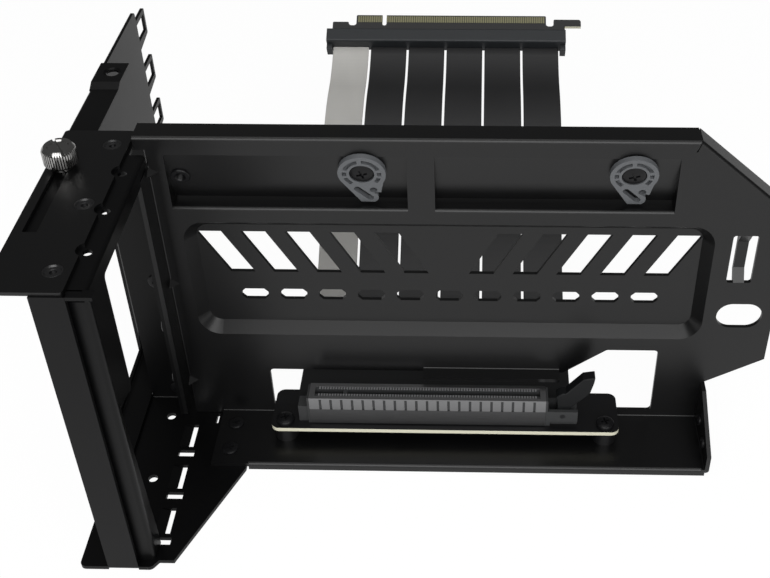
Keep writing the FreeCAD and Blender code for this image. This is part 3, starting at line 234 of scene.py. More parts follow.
class Value:
    """A shader socket that takes part in Python expressions; each operator adds a Math node."""

    def __init__(self, shader, socket):
        self.shader = shader
        self.socket = socket

    def maths(self, operation, first, second=0.0):
        return self.shader.node("ShaderNodeMath", {"operation": operation}, {0: first, 1: second})

    def __add__(self, other):
        return self.maths("ADD", self, other)

    def __radd__(self, other):
        return self.maths("ADD", other, self)

    def __sub__(self, other):
        return self.maths("SUBTRACT", self, other)

    def __rsub__(self, other):
        return self.maths("SUBTRACT", other, self)

    def __mul__(self, other):
        return self.maths("MULTIPLY", self, other)

    def __rmul__(self, other):
        return self.maths("MULTIPLY", other, self)

    def __gt__(self, other):
        return self.maths("GREATER_THAN", self, other)

    def __lt__(self, other):
        return self.maths("LESS_THAN", self, other)

    def __abs__(self):
        return self.maths("ABSOLUTE", self)


class Shader:
    """One material while its nodes are written."""

    def __init__(self, name):
        self.material = bpy.data.materials.new(name)
        self.material.use_nodes = True
        self.tree = self.material.node_tree
        self.tree.nodes.clear()

    def node(self, kind, settings=None, inputs=None, output=0):
        """Add a node, set its settings and then its sockets, and return one of its outputs."""
        made = self.tree.nodes.new(kind)
        for name, value in (settings or {}).items():
            if name == "stops":
                self.set_stops(made.color_ramp, value)
            else:
                setattr(made, name, value)
        for key, value in (inputs or {}).items():
            if isinstance(value, Value):
                self.tree.links.new(value.socket, made.inputs[key])
            else:
                made.inputs[key].default_value = value
        return Value(self, made.outputs[output]) if made.outputs else None

    @staticmethod
    def set_stops(ramp, stops):
        while len(ramp.elements) < len(stops):
            ramp.elements.new(1.0)
        for element, (position, level) in zip(ramp.elements, stops):
            element.position = position
            element.color = (level, level, level, 1.0)

    def place(self):
        return self.node("ShaderNodeTexCoord", output="Object")

    def facing(self, direction):
        """How far the surface faces a direction of the object, from -1 to 1."""
        normal = self.node("ShaderNodeTexCoord", output="Normal")
        return self.node("ShaderNodeVectorMath", {"operation": "DOT_PRODUCT"}, {0: normal, 1: direction},
                         output="Value")

    def noise(self, scale, detail=2.0, stretch=(1.0, 1.0, 1.0)):
        """A cloudy pattern from 0 to 1; the scale is in patches per metre."""
        spread = self.node("ShaderNodeMapping", {}, {"Vector": self.place(), "Scale": stretch})
        return self.node("ShaderNodeTexNoise", {}, {"Vector": spread, "Scale": scale, "Detail": detail})

    def steps(self, value, stops):
        return self.node("ShaderNodeValToRGB", {"stops": stops}, {"Fac": value})

    def mix(self, factor, first, second):
        return self.node("ShaderNodeMix", {"data_type": "RGBA"}, {0: factor, 6: first, 7: second}, output=2)

    def bump(self, height, strength, distance):
        return self.node("ShaderNodeBump", {}, {"Height": height, "Strength": strength, "Distance": distance})

    def finish(self, sockets):
        """Close the material with a principled surface."""
        surface = self.node("ShaderNodeBsdfPrincipled", {}, sockets)
        self.node("ShaderNodeOutputMaterial", {}, {"Surface": surface})
        return self.material


def opaque(colour, level=1.0):
    return (colour[0] * level, colour[1] * level, colour[2] * level, 1.0)


# Materials

def powder_coat(name, colour, roughness, sheen):
    """Baked powder paint: a fine grain with slow drifts of shade and gloss."""
    shader = Shader(name)
    grain = shader.noise(2600.0, 3.0)
    drift = shader.noise(28.0, 2.0)
    tone = shader.mix(drift, opaque(colour, 0.88), opaque(colour, 1.14))
    gloss = roughness - 0.05 + drift * 0.06 + grain * 0.05
    return shader.finish({"Base Color": tone, "Roughness": gloss, "Specular IOR Level": sheen,
                          "Normal": shader.bump(grain, 0.10, 0.00006)})


def black_oxide(name, colour, sheen):
    shader = Shader(name)
    grain = shader.noise(1800.0, 3.0)
    tone = shader.mix(grain, opaque(colour, 0.8), opaque(colour, 1.5))
    return shader.finish({"Base Color": tone, "Roughness": 0.26 + grain * 0.10, "Specular IOR Level": sheen,
                          "Normal": shader.bump(grain, 0.06, 0.00005)})


def bright_plate(name, colour, roughness):
    """Plated metal with faint turning marks."""
    shader = Shader(name)
    marks = shader.noise(900.0, 3.0, (0.3, 0.3, 6.0))
    tone = shader.mix(marks, opaque(colour, 0.90), opaque(colour, 1.06))
    return shader.finish({"Base Color": tone, "Metallic": 1.0, "Roughness": roughness + marks * 0.08,
                          "Normal": shader.bump(marks, 0.05, 0.00004)})


def drawn_steel(name, colour, band, band_top):
    """Thin bare sheet with the grain of its rolling along the slot, duller in a band below a height."""
    shader = Shader(name)
    grain = shader.noise(700.0, 3.0, (0.2, 4.0, 6.0))
    height = shader.node("ShaderNodeSeparateXYZ", {}, {0: shader.place()}, output="Z")
    level = shader.mix(height > band_top, opaque(band), opaque(colour))
    tone = shader.mix(grain * 0.2, level, opaque(colour, 1.08))
    return shader.finish({"Base Color": tone, "Metallic": 1.0, "Roughness": 0.34 + grain * 0.12,
                          "Normal": shader.bump(grain, 0.06, 0.00004)})


def moulded_plastic(name, colour, roughness, sheen=0.5):
    shader = Shader(name)
    grain = shader.noise(1500.0, 3.0)
    drift = shader.noise(40.0, 2.0)
    tone = shader.mix(drift, opaque(colour, 0.92), opaque(colour, 1.08))
    return shader.finish({"Base Color": tone, "Roughness": roughness + grain * 0.10, "Specular IOR Level": sheen,
                          "Normal": shader.bump(grain, 0.08, 0.00006)})


def circuit_board(name, mask, laminate, upward):
    """Dark solder mask on both faces and bare laminate round the edge."""
    shader = Shader(name)
    cover = abs(shader.facing(upward)) > 0.5
    fibres = shader.noise(900.0, 2.0, (1.0, 1.0, 5.0))
    edge = shader.mix(fibres, opaque(laminate, 0.92), opaque(laminate, 1.06))
    drift = shader.noise(60.0, 2.0)
    face = shader.mix(drift, opaque(mask, 0.85), opaque(mask, 1.25))
    return shader.finish({"Base Color": shader.mix(cover, edge, face), "Roughness": 0.52 - cover * 0.20})


def foil_sleeve(name, colour, roughness):
    """The ribbon's sleeve: fine lengthwise wires under a satin film, with soft waves."""
    shader = Shader(name)
    across = shader.noise(1100.0, 1.0, (1.0, 0.02, 0.02))
    waves = shader.noise(70.0, 2.0, (1.6, 0.7, 0.7))
    tone = shader.mix(waves, opaque(colour, 0.92), opaque(colour, 1.08))
    return shader.finish({"Base Color": tone, "Roughness": roughness + waves * 0.08,
                          "Normal": shader.bump(across * 0.6 + waves * 0.4, 0.12, 0.00012)})


def paint(names, material, slot=None):
    """Give CAD nodes a material in place of their plain one."""
    for name in names:
        node = NODES[name]
        node.data.materials.clear()
        node.data.materials.append(material)


def finished_piece(name, bm, material, body, replaced=()):
    """Turn a bmesh into a piece that rides on a body."""
    mesh = bpy.data.meshes.new(name)
    bm.to_mesh(mesh)
    bm.free()
    mesh.materials.append(material)
    piece = bpy.data.objects.new(name, mesh)
    bpy.context.scene.collection.objects.link(piece)
    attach(piece, body)
    if replaced:
        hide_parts(*replaced)
    return piece


# Turned and cut forms

def lathed(profile, steps):
    """A form turned about Z from a profile of (radius, height) points."""
    bm = bmesh.new()
    start = bmesh.ops.create_vert(bm, co=(profile[0][0], 0.0, profile[0][1]))["vert"]
    for (radius, height), (next_radius, next_height) in zip(profile, profile[1:]):
        start = bmesh.ops.extrude_vert_indiv(bm, verts=start)["verts"]
        bmesh.ops.translate(bm, verts=start, vec=(next_radius - radius, 0.0, next_height - height))
    bmesh.ops.spin(bm, geom=bm.verts[:] + bm.edges[:], axis=UP, cent=(0, 0, 0), dvec=(0, 0, 0),
                   angle=2 * math.pi, steps=steps, use_merge=True, use_duplicate=False)
    bmesh.ops.remove_doubles(bm, verts=bm.verts[:], dist=1e-7)
    bmesh.ops.recalc_face_normals(bm, faces=bm.faces[:])
    return bm


def bar(length, width, low, high, turn=0.0):
    """A level bar across Z, turned about it."""
    bm = bmesh.new()
    bmesh.ops.create_cube(bm, size=1.0)
    bmesh.ops.scale(bm, verts=bm.verts[:], vec=(length, width, high - low))
    bmesh.ops.translate(bm, verts=bm.verts[:], vec=(0.0, 0.0, (low + high) / 2))
    bmesh.ops.rotate(bm, verts=bm.verts[:], cent=(0, 0, 0), matrix=Matrix.Rotation(turn, 3, "Z"))
    return bm


def carved(bm, cutter):
    """A form with another cut out of it."""
    parts = []
    for name, form in (("form", bm), ("cutter", cutter)):
        mesh = bpy.data.meshes.new(name)
        form.to_mesh(mesh)
        form.free()
        parts.append(bpy.data.objects.new(name, mesh))
        bpy.context.scene.collection.objects.link(parts[-1])
    cut = parts[0].modifiers.new("cut", "BOOLEAN")
    cut.operation = "DIFFERENCE"
    cut.solver = "EXACT"
    cut.object = parts[1]
    result = bmesh.new()
    result.from_object(parts[0], bpy.context.evaluated_depsgraph_get())
    for part in parts:
        mesh = part.data
        bpy.data.objects.remove(part)
        bpy.data.meshes.remove(mesh)
    return result


def outlined(corners, thickness, low=0.0):
    """A flat plate from its outline, drawn up along Z."""
    bm = bmesh.new()
    first = bmesh.ops.create_vert(bm, co=(corners[0][0], corners[0][1], low))["vert"]
    last = first
    for (x, y), (next_x, next_y) in zip(corners, corners[1:]):
        last = bmesh.ops.extrude_vert_indiv(bm, verts=last)["verts"]
        bmesh.ops.translate(bm, verts=last, vec=(next_x - x, next_y - y, 0.0))
    bmesh.ops.contextual_create(bm, geom=last + first)
    face = bmesh.ops.edgeloop_fill(bm, edges=bm.edges[:])["faces"]
    drawn = bmesh.ops.extrude_face_region(bm, geom=face)["geom"]
    bmesh.ops.translate(bm, verts=[g for g in drawn if isinstance(g, bmesh.types.BMVert)], vec=(0, 0, thickness))
    bmesh.ops.recalc_face_normals(bm, faces=bm.faces[:])
    return bm


def arc(radius, start, end, middle=(0.0, 0.0)):
    """Points along an arc between two angles in degrees."""
    count = max(3, round(abs(end - start) / 6))
    turns = [math.radians(start + (end - start) * i / count) for i in range(count + 1)]
    return [(middle[0] + radius * math.cos(turn), middle[1] + radius * math.sin(turn)) for turn in turns]


def in_metres(corners):
    return [(x / 1000, y / 1000) for x, y in corners]


def turned(form, place, across, upward, out):
    """Lay a form's X, Y and Z along three directions and move it to its place."""
    turn = Matrix((across, upward, out)).transposed().to_4x4()
    bmesh.ops.transform(form, matrix=Matrix.Translation(place) @ turn, verts=form.verts[:])
    return form


def gathered(forms):
    """One bmesh from several forms, with smooth rounds and sharp corners."""
    whole = bmesh.new()
    for form in forms:
        mesh = bpy.data.meshes.new("gathered")
        form.to_mesh(mesh)
        form.free()
        whole.from_mesh(mesh)
        bpy.data.meshes.remove(mesh)
    for face in whole.faces:
        face.smooth = True
    for edge in whole.edges:
        edge.smooth = edge.calc_face_angle(0.0) < math.radians(35)
    return whole


def seated(form, place, direction):
    """Turn a form's Z axis to a direction and move it to its place."""
    turn = direction.to_track_quat("Z", "Y").to_matrix().to_4x4()
    bmesh.ops.transform(form, matrix=Matrix.Translation(place) @ turn, verts=form.verts[:])
    return form


def separate_solids(name):
    """The corner points of each separate solid of a CAD node."""
    bm = bmesh.new()
    bm.from_mesh(NODES[name].data)
    bmesh.ops.remove_doubles(bm, verts=bm.verts[:], dist=1e-6)
    seen = set()
    solids = []
    for first in bm.verts:
        if first in seen:
            continue
        seen.add(first)
        waiting = [first]
        points = []
        while waiting:
            vertex = waiting.pop()
            points.append(vertex.co.copy())
            linked = [edge.other_vert(vertex) for edge in vertex.link_edges]
            fresh = [other for other in linked if other not in seen]
            seen.update(fresh)
            waiting += fresh
        solids.append(points)
    bm.free()
    return solids


def head_sizes(points, direction):
    """Where a screw's head sits, its radius and height, and how far its shank reaches below."""
    heights = [point.dot(direction) for point in points]
    top = max(heights)
    crown = [point for point, height in zip(points, heights) if top - height < 1e-5]
    middle = sum(crown, Vector()) / len(crown)
    radius = max((point - middle).length for point in crown)
    wide = [height for point, height in zip(points, heights)
            if (point - middle - direction * (height - top)).length > 0.95 * radius]
    seat = min(wide)
    return middle - direction * (top - seat), radius, top - seat, seat - min(heights)


def cross_recess(form, radius, top, depth):
    """Cut a cross into the top of a screw's head."""
    for turn in (0.3, 0.3 + math.pi / 2):
        form = carved(form, bar(0.95 * radius, 0.22 * radius, top - depth, top + depth, turn))
    return form


def domed_screw(radius, height, reach, shank):
    """A screw with a domed head and a cross recess."""
    dome = [(radius * math.cos(turn), height * (0.45 + 0.55 * math.sin(turn)))
            for turn in (math.pi * i / 16 for i in range(8))]
    form = lathed([(0.0, -reach), (shank, -reach), (shank, 0.0), (radius, 0.0)] + dome + [(0.0, height)], 40)
    return cross_recess(form, radius, height, 0.6 * height)


def sunk_screw(radius, height, reach, shank):
    """A flat screw head, flush in its sheet, with a narrow rim round a dish and a deep round recess."""
    floor = 0.25 * height
    return lathed([(0.0, -reach), (shank, -reach), (shank, 0.0), (radius, 0.0), (radius, 0.94 * height),
                   (0.97 * radius, height), (0.90 * radius, height), (0.76 * radius, floor),
                   (0.50 * radius, floor), (0.36 * radius, 0.0), (0.34 * radius, -height), (0.0, -height)], 48)


def domed_rivet(radius, height, reach, shank):
    dome = [(radius * math.cos(turn), height * (0.2 + 0.8 * math.sin(turn)))
            for turn in (math.pi * i / 16 for i in range(8))]
    return lathed([(0.0, -reach), (shank, -reach), (shank, 0.0), (radius, 0.0)] + dome + [(0.0, height)], 40)


def threaded_bush(radius, height, reach, bore):
    """A pressed bush with a rounded rim and a threaded hole."""
    edge = 0.00025
    turns = 6
    thread = []
    for i in range(turns):
        level = height - edge - i * (height + reach) / turns
        thread += [(bore, level), (bore - 0.00015, level - 0.0002)]
    outer = 0.75 * radius
    profile = [(bore + edge, height)] + thread + [(bore, -reach), (outer, -reach), (outer, 0.0), (radius, 0.0),
               (radius, height - edge), (radius - edge, height), (bore + edge, height)]
    return lathed(profile, 48)


# Ribbon

def route_line(middle_x, resolution):
    """Points along the smooth line of the strips' route."""
    curve = bpy.data.curves.new("strip_route", "CURVE")
    curve.dimensions = "3D"
    spline = curve.splines.new("NURBS")
    spline.points.add(len(STRIP_ROUTE) - 1)
    for point, (y, z) in zip(spline.points, STRIP_ROUTE):
        point.co = (middle_x, y, z, 1.0)
    spline.order_u = 3
    spline.use_endpoint_u = True
    spline.resolution_u = resolution
    holder = bpy.data.objects.new("strip_route", curve)
    mesh = bpy.data.meshes.new_from_object(holder)
    line = [vertex.co.copy() for vertex in mesh.vertices]
    bpy.data.meshes.remove(mesh)
    bpy.data.objects.remove(holder)
    bpy.data.curves.remove(curve)
    return line


def strip_sheet(line, width, columns, thickness):
    """A flat strip along a line, drawn out from one row of points and given its thickness."""
    bm = bmesh.new()
    start = line[0] - Vector((width / 2, 0, 0))
    row = [bmesh.ops.create_vert(bm, co=start)["vert"][0]]
    for _ in range(columns):
        drawn = bmesh.ops.extrude_vert_indiv(bm, verts=row[-1:])
        bmesh.ops.translate(bm, verts=drawn["verts"], vec=(width / columns, 0, 0))
        row += drawn["verts"]
    edges = list(bm.edges)
    for here, ahead in zip(line, line[1:]):
        drawn = bmesh.ops.extrude_edge_only(bm, edges=edges)["geom"]
        bmesh.ops.translate(bm, verts=[g for g in drawn if isinstance(g, bmesh.types.BMVert)], vec=ahead - here)
        edges = [g for g in drawn if isinstance(g, bmesh.types.BMEdge)]
    bmesh.ops.recalc_face_normals(bm, faces=bm.faces)
    if sum(face.normal.z for face in bm.faces) < 0:
        bmesh.ops.reverse_faces(bm, faces=bm.faces)
    raised = bm.verts[:]
    for vertex in raised:
        vertex.co += vertex.normal * (thickness / 2)
    bmesh.ops.solidify(bm, geom=bm.faces[:], thickness=thickness)
    bmesh.ops.recalc_face_normals(bm, faces=bm.faces)
    return bm


class HOLDER_OT_ribbon(bpy.types.Operator):
    """Lay the six ribbon strips from the riser board to the card-edge connector."""

    bl_idname = "holder.ribbon"
    bl_label = "Ribbon strips"

    def execute(self, context):
        sizes = context.scene.holder_ribbon
        finish = context.scene.holder_finish
        dark = foil_sleeve("dark ribbon sleeve", finish.ribbon, 0.42)
        # The first strip's pale sleeve is a painted reflection of light on that strip
        pale = foil_sleeve("ribbon sleeve with painted reflection", finish.pale_ribbon, 0.45)
        for i, name in enumerate(STRIP_NAMES):
            low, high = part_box(name)
            line = route_line((low.x + high.x) / 2, sizes.resolution)
            bm = strip_sheet(line, high.x - low.x, sizes.columns, sizes.sheet)
            strip = finished_piece(name + "_sleeve", bm, dark if i else pale, "holder", [name])
            bevel = strip.modifiers.new("edge rounding", "BEVEL")
            bevel.width = sizes.rounding
            bevel.segments = 3
            bevel.angle_limit = math.radians(60)
        return {"FINISHED"}


# Fasteners

def make_heads(name, direction, shape, shank, material):
    """Stand detailed fasteners in place of a CAD node's plain ones."""
    forms = []
    for points in separate_solids(name):
        place, radius, height, reach = head_sizes(points, direction)
        forms.append(seated(shape(radius, height, reach, shank), place, direction))
    finished_piece(name + "_detailed", gathered(forms), material, "holder", [name])


class HOLDER_OT_sheets(bpy.types.Operator):
    """Powder-coat the folded sheets."""

    bl_idname = "holder.sheets"
    bl_label = "Folded sheets"

    def execute(self, context):
        finish = context.scene.holder_finish
        roughness = finish.sheet_roughness
        dull = powder_coat("dull black powder coat", finish.sheet, roughness, finish.dull_sheen)
        paint(GLOSSY_SHEETS, powder_coat("black powder coat", finish.sheet, roughness, finish.sheen))
        paint(DULL_SHEETS, dull)
        # A lighter copy of the black powder coat for the rear bracket: painted light on its lit side
        paint(["rear_slot_bracket"], powder_coat("rear powder coat with painted light", finish.rear_sheet_painted_light, roughness, finish.dull_sheen))
        size = NOSE_HIGH - NOSE_LOW
        nose = seated(bar(size.x, size.y, 0.0, size.z), (NOSE_LOW + NOSE_HIGH - UP * size.z) / 2, UP)
        finished_piece("ledge_nose", gathered([nose]), dull, "holder", ())
        return {"FINISHED"}


class HOLDER_OT_fasteners(bpy.types.Operator):
    """Make the screws, rivets and bushes with their recesses and rounded heads."""

    bl_idname = "holder.fasteners"
    bl_label = "Screws and rivets"

    def execute(self, context):
        sizes = context.scene.holder_fasteners
        finish = context.scene.holder_finish
        oxide = black_oxide("black oxide", finish.screw, finish.dull_sheen)
        glossy = black_oxide("glossy black oxide", finish.screw, finish.glossy_sheen)
        for name, direction in SCREW_DIRECTIONS.items():
            make_heads(name, direction, domed_screw, sizes.shank, oxide)
        make_heads("top_plate_screws", UP, sunk_screw, sizes.shank, glossy)
        make_heads("end_rivets", Vector((-1.0, 0.0, 0.0)), domed_rivet, sizes.shank, oxide)
        make_heads("louvre_insert", FLAP_OUT, threaded_bush, sizes.bush_bore, oxide)
        paint(["board_standoffs"], glossy)
        return {"FINISHED"}


class HOLDER_OT_thumbscrew(bpy.types.Operator):
    """Make the knurled thumbscrew with its slot, and finish the nut under it."""

    bl_idname = "holder.thumbscrew"
    bl_label = "Thumbscrew"

    def execute(self, context):
        sizes = context.scene.holder_fasteners
        finish = context.scene.holder_finish
        low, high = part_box("thumbscrew")
        radius = (high.x - low.x) / 2
        head = sizes.thumb_head
        edge = sizes.thumb_edge
        collar = sizes.thumb_collar
        shank = sizes.shank
        tall = high.z - low.z
        form = lathed([(0.0, -tall), (shank, -tall), (shank, -head - collar), (radius - 2 * edge, -head - collar),
                       (radius - 2 * edge, -head), (radius - edge, -head), (radius, -head + edge), (radius, -1.6 * edge),
                       (radius - 0.3 * edge, -0.9 * edge), (radius - 1.1 * edge, 0.0), (radius - 2.2 * edge, 0.0),
                       (radius - 2.6 * edge, -0.5 * edge), (0.0, -0.5 * edge)], 4 * sizes.knurls)
        for vertex in form.verts:
            turn = round(math.atan2(vertex.co.y, vertex.co.x) * 2 * sizes.knurls / math.pi)
            if math.hypot(vertex.co.x, vertex.co.y) > radius - 0.2 * edge and turn % 4 == 0:
                vertex.co.xy *= 1 - sizes.knurl_depth / radius
        slot = bar(3 * radius, sizes.thumb_slot, -sizes.thumb_slot_depth, radius, math.radians(-58.0))
        form = carved(form, slot)
        place = Vector(((low.x + high.x) / 2, (low.y + high.y) / 2, high.z))
        plate = bright_plate("bright nickel", finish.nickel, 0.10)
        finished_piece("thumbscrew_knurled", gathered([seated(form, place, UP)]), plate, "thumbscrew",
                       ["thumbscrew"])
        paint(["clamp_nut"], plate)
        return {"FINISHED"}


def rounded_edges(piece, width):
    bevel = piece.modifiers.new("moulded edges", "BEVEL")
    bevel.width = width
    bevel.segments = 2
    bevel.limit_method = "ANGLE"
    bevel.angle_limit = math.radians(50)


def cable_clip(sizes):
    """A flat clip: a ring with pockets round its screw, a tail with a slanted groove, and a barb."""
    form = outlined(in_metres(CLIP_TAIL) + arc(sizes.ring, *CLIP_RING), sizes.thickness)
    top = sizes.thickness - sizes.pocket_depth
    cutters = []
    for start, end in CLIP_POCKETS:
        outer = arc(sizes.pocket_line + sizes.pocket / 2, start, end)
        inner = arc(sizes.pocket_line - sizes.pocket / 2, end, start)
        cutters.append(outlined(outer + inner, sizes.thickness, top))
    (left, upper), (right, lower) = in_metres(CLIP_GROOVE)
    lean = math.degrees(math.atan2(lower - upper, right - left))
    groove = arc(sizes.groove / 2, lean - 90, lean + 90, (right, lower))
    groove += arc(sizes.groove / 2, lean + 90, lean + 270, (left, upper))
    cutters.append(outlined(groove, 3 * sizes.thickness, -sizes.thickness))
    eye = arc(sizes.eye, 0, 354, in_metres([CLIP_EYE])[0])
    cutters.append(outlined(eye, 3 * sizes.thickness, -sizes.thickness))
    cutters.append(lathed([(0.0, -sizes.thickness), (sizes.bore, -sizes.thickness), (sizes.bore, sizes.floor),
                           (sizes.seat, sizes.floor), (sizes.seat, 2 * sizes.thickness),
                           (0.0, 2 * sizes.thickness)], 48))
    return carved(form, gathered(cutters))


class HOLDER_OT_clips(bpy.types.Operator):
    """Make the two cable clips, each round its own screw."""

    bl_idname = "holder.clips"
    bl_label = "Cable clips"

    def execute(self, context):
        sizes = context.scene.holder_clips
        plastic = moulded_plastic("clip plastic", context.scene.holder_finish.clip, 0.45)
        seats = [head_sizes(points, FLAP_OUT)[0] for points in separate_solids("clip_screws")]
        for name, body in zip(CLIPS, ("left_clip", "right_clip")):
            low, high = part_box(name)
            middle = (low.x + high.x) / 2
            seat = min(seats, key=lambda place: abs(place.x - middle))
            back = min(vertex.co.dot(FLAP_OUT) for vertex in NODES[name].data.vertices)
            place = seat + FLAP_OUT * (back - seat.dot(FLAP_OUT))
            form = turned(cable_clip(sizes), place, ALONG, FLAP_UP, FLAP_OUT)
            piece = finished_piece(name + "_moulded", gathered([form]), plastic, body, [name])
            rounded_edges(piece, sizes.rounding)
        return {"FINISHED"}


class HOLDER_OT_latch(bpy.types.Operator):
    """Make the slot's latch with its raised finger tab."""

    bl_idname = "holder.latch"
    bl_label = "Slot latch"

    def execute(self, context):
        sizes = context.scene.holder_clips
        finish = context.scene.holder_finish
        plastic = moulded_plastic("latch moulding", finish.moulding, 0.36, finish.dull_sheen)
        low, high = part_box("slot_latch")
        pin_low, pin_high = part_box("latch_pin")
        width = high.y - low.y
        hole = lathed([(0.0, -width), (sizes.pin, -width), (sizes.pin, 2 * width), (0.0, 2 * width)], 32)
        form = carved(outlined(in_metres(LATCH_OUTLINE), width), hole)
        place = Vector(((pin_low.x + pin_high.x) / 2, high.y, (pin_low.z + pin_high.z) / 2))
        form = turned(form, place, ALONG, UP, FRONT)
        piece = finished_piece("slot_latch_tabbed", gathered([form]), plastic, "latch", ["slot_latch"])
        rounded_edges(piece, 2 * sizes.rounding)
        return {"FINISHED"}


class HOLDER_OT_contacts(bpy.types.Operator):
    """Set the rows of spring contacts along both rails of the slot."""

    bl_idname = "holder.contacts"
    bl_label = "Slot contacts"

    def execute(self, context):
        sizes = context.scene.holder_fasteners
        finish = context.scene.holder_finish
        low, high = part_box("slot_shield")
        middle_y = (low.y + high.y) / 2
        count = int((high.x - low.x - 0.006) / sizes.tooth_pitch)
        first = (low.x + high.x - (count - 1) * sizes.tooth_pitch) / 2
        forms = []
        for i in range(count):
            for side in (-1, 1):
                tooth = bar(sizes.tooth_width, TOOTH_DEPTH, -TOOTH_DROP, 0.0)
                place = Vector((first + i * sizes.tooth_pitch, middle_y + side * TOOTH_OFFSET, high.z - TOOTH_SINK))
                forms.append(seated(tooth, place, UP))
        # Partly painted highlight: the teeth's grey is lifted against the shade in the slot's recess
        comb = moulded_plastic("slot teeth", finish.teeth, 0.40)
        finished_piece("slot_contact_rows", gathered(forms), comb, "holder", ())
        return {"FINISHED"}


class HOLDER_OT_riser(bpy.types.Operator):
    """Finish the riser board, its slot and the card-edge connector."""

    bl_idname = "holder.riser"
    bl_label = "Riser board and slot"

    def execute(self, context):
        finish = context.scene.holder_finish
        paint(BLACK_MOULDINGS, moulded_plastic("black moulding", finish.moulding, 0.36))
        paint(["slot_housing"], moulded_plastic("slot moulding", finish.slot, 0.42))
        paint(["edge_housing"], moulded_plastic("connector moulding", finish.connector, 0.42))
        paint(["slot_shield"], drawn_steel("shield steel", finish.shield, finish.shield_band, SHIELD_BAND_TOP))
        paint(["edge_contacts"], bright_plate("contact plate", finish.gold, 0.34))
        paint(["riser_board"], circuit_board("riser board", finish.mask, finish.laminate, (0, 0, 1)))
        run = Vector((0, STRIP_ROUTE[-1][0] - STRIP_ROUTE[-2][0], STRIP_ROUTE[-1][1] - STRIP_ROUTE[-2][1]))
        upward = run.normalized().cross(Vector((-1, 0, 0)))
        paint(["edge_board"], circuit_board("edge board", finish.mask, finish.laminate, upward))
        return {"FINISHED"}


# Stage

def area_light(name, place, target, sides, watts):
    lamp = bpy.data.lights.new(name, "AREA")
    lamp.shape = "RECTANGLE"
    lamp.size, lamp.size_y = sides
    lamp.energy = watts
    light = bpy.data.objects.new(name, lamp)
    light.location = place
    light.rotation_euler = (Vector(target) - Vector(place)).to_track_quat("-Z", "Y").to_euler()
    bpy.context.scene.collection.objects.link(light)


def floor_material(stage):
    """A pale floor that shows mostly plain white and keeps a soft shadow."""
    shader = Shader("pale floor")
    path = shader.tree.nodes.new("ShaderNodeLightPath")
    seen = Value(shader, path.outputs["Is Camera Ray"]) * stage.floor_glow
    through = Value(shader, path.outputs["Is Transmission Ray"]) * stage.floor_glow
    mirrored = Value(shader, path.outputs["Is Glossy Ray"]) * stage.mirror_glow
    matt = shader.node("ShaderNodeBsdfDiffuse", {}, {"Color": opaque(stage.floor_tint)})
    white = shader.node("ShaderNodeEmission", {}, {"Color": (1, 1, 1, 1), "Strength": 1.03})
    share = shader.node("ShaderNodeMath", {"operation": "MINIMUM"}, {0: seen + through + mirrored, 1: 1.0})
    surface = shader.node("ShaderNodeMixShader", {}, {0: share, 1: matt, 2: white})
    shader.node("ShaderNodeOutputMaterial", {}, {"Surface": surface})
    return shader.material


def floor_plane(stage):
    bm = bmesh.new()
    bmesh.ops.create_grid(bm, x_segments=2, y_segments=2, size=stage.floor_side / 2)
    mesh = bpy.data.meshes.new("pale_floor")
    bm.to_mesh(mesh)
    bm.free()
    mesh.materials.append(floor_material(stage))
    floor = bpy.data.objects.new("pale_floor", mesh)
    floor.location.z = CAD_BOX[0].z - 0.0002
    bpy.context.scene.collection.objects.link(floor)


def photo_camera(stage):
    """The camera with the photograph's place, direction, lens and off-centre framing."""
    data = bpy.data.cameras.new("photo_camera")
    data.sensor_width = 36.0
    data.lens = data.sensor_width * stage.focal_pixels / PHOTO_WIDTH
    data.shift_x = (PHOTO_WIDTH / 2 - stage.middle[0]) / PHOTO_WIDTH
    data.shift_y = (stage.middle[1] - PHOTO_HEIGHT / 2) / PHOTO_WIDTH
    data.clip_start = 0.01
    camera = bpy.data.objects.new("photo_camera", data)
    turn = Matrix.Rotation(stage.yaw, 4, "Z") @ Matrix.Rotation(math.pi / 2 - stage.pitch, 4, "X")
    lean = Matrix.Rotation(stage.roll, 4, "Z")
    camera.matrix_world = Matrix.Translation(stage.camera_place) @ turn @ lean
    bpy.context.scene.collection.objects.link(camera)
    bpy.context.scene.camera = camera


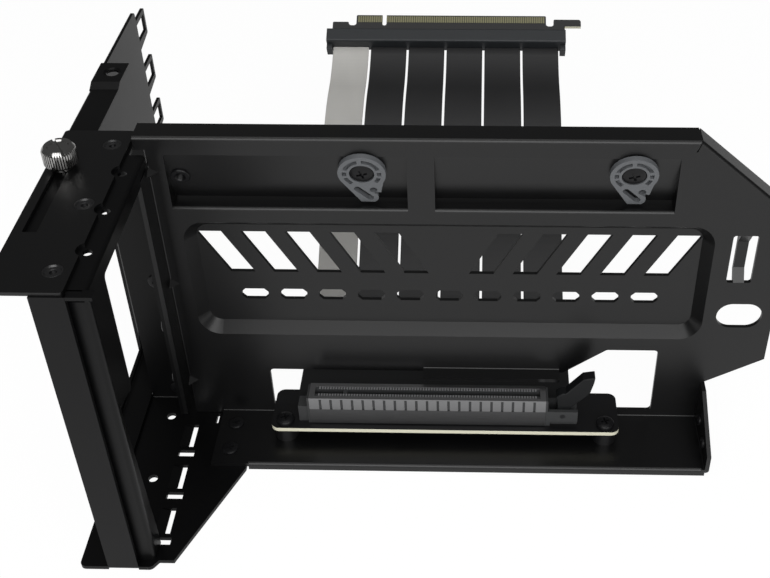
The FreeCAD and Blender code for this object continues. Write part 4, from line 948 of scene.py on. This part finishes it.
class HOLDER_OT_stage(bpy.types.Operator):
    """Set up the pale floor, the soft lights and the camera."""

    bl_idname = "holder.stage"
    bl_label = "Stage"

    def execute(self, context):
        stage = context.scene.holder_stage
        context.scene.view_settings.view_transform = "Standard"
        world = bpy.data.worlds.new("even light")
        context.scene.world = world
        world.use_nodes = True
        background = world.node_tree.nodes["Background"]
        background.inputs["Color"].default_value = (1, 1, 1, 1)
        background.inputs["Strength"].default_value = stage.world_level
        area_light("front softbox", (0.10, -1.05, 0.65), (0.0, 0.0, 0.06), (1.6, 1.0), 15.0)
        area_light("overhead softbox", (0.0, -0.1, 1.5), (0.0, 0.0, 0.05), (1.2, 1.2), 5.0)
        floor_plane(stage)
        photo_camera(stage)
        return {"FINISHED"}


class HOLDER_PT_sidebar(bpy.types.Panel):
    """Lists the steps that dress the holder."""

    bl_idname = "HOLDER_PT_sidebar"
    bl_label = "Upright Card Holder"
    bl_space_type = "VIEW_3D"
    bl_region_type = "UI"
    bl_category = "Holder"

    def draw(self, context):
        for operator in OPERATORS:
            self.layout.operator(operator.bl_idname)
        for group in ("holder_finish", "holder_ribbon", "holder_fasteners", "holder_clips", "holder_stage"):
            settings = getattr(context.scene, group)
            for name in settings.bl_rna.properties.keys():
                if name not in ("rna_type", "name"):
                    self.layout.prop(settings, name)


OPERATORS = [HOLDER_OT_stage, HOLDER_OT_ribbon, HOLDER_OT_sheets, HOLDER_OT_fasteners, HOLDER_OT_thumbscrew,
             HOLDER_OT_clips, HOLDER_OT_latch, HOLDER_OT_riser, HOLDER_OT_contacts]
GROUPS = [HolderFinish, HolderRibbon, HolderFasteners, HolderClips, HolderStage]


def register():
    for group in GROUPS + OPERATORS + [HOLDER_PT_sidebar]:
        bpy.utils.register_class(group)
    bpy.types.Scene.holder_finish = PointerProperty(type=HolderFinish)
    bpy.types.Scene.holder_ribbon = PointerProperty(type=HolderRibbon)
    bpy.types.Scene.holder_fasteners = PointerProperty(type=HolderFasteners)
    bpy.types.Scene.holder_clips = PointerProperty(type=HolderClips)
    bpy.types.Scene.holder_stage = PointerProperty(type=HolderStage)


def unregister():
    for name in ("holder_finish", "holder_ribbon", "holder_fasteners", "holder_clips", "holder_stage"):
        delattr(bpy.types.Scene, name)
    for group in reversed(GROUPS + OPERATORS + [HOLDER_PT_sidebar]):
        bpy.utils.unregister_class(group)


def main():
    register()
    bpy.ops.holder.stage()
    bpy.ops.holder.ribbon()
    bpy.ops.holder.sheets()
    bpy.ops.holder.fasteners()
    bpy.ops.holder.thumbscrew()
    bpy.ops.holder.clips()
    bpy.ops.holder.latch()
    bpy.ops.holder.riser()
    bpy.ops.holder.contacts()


if __name__ == "__main__":
    main()
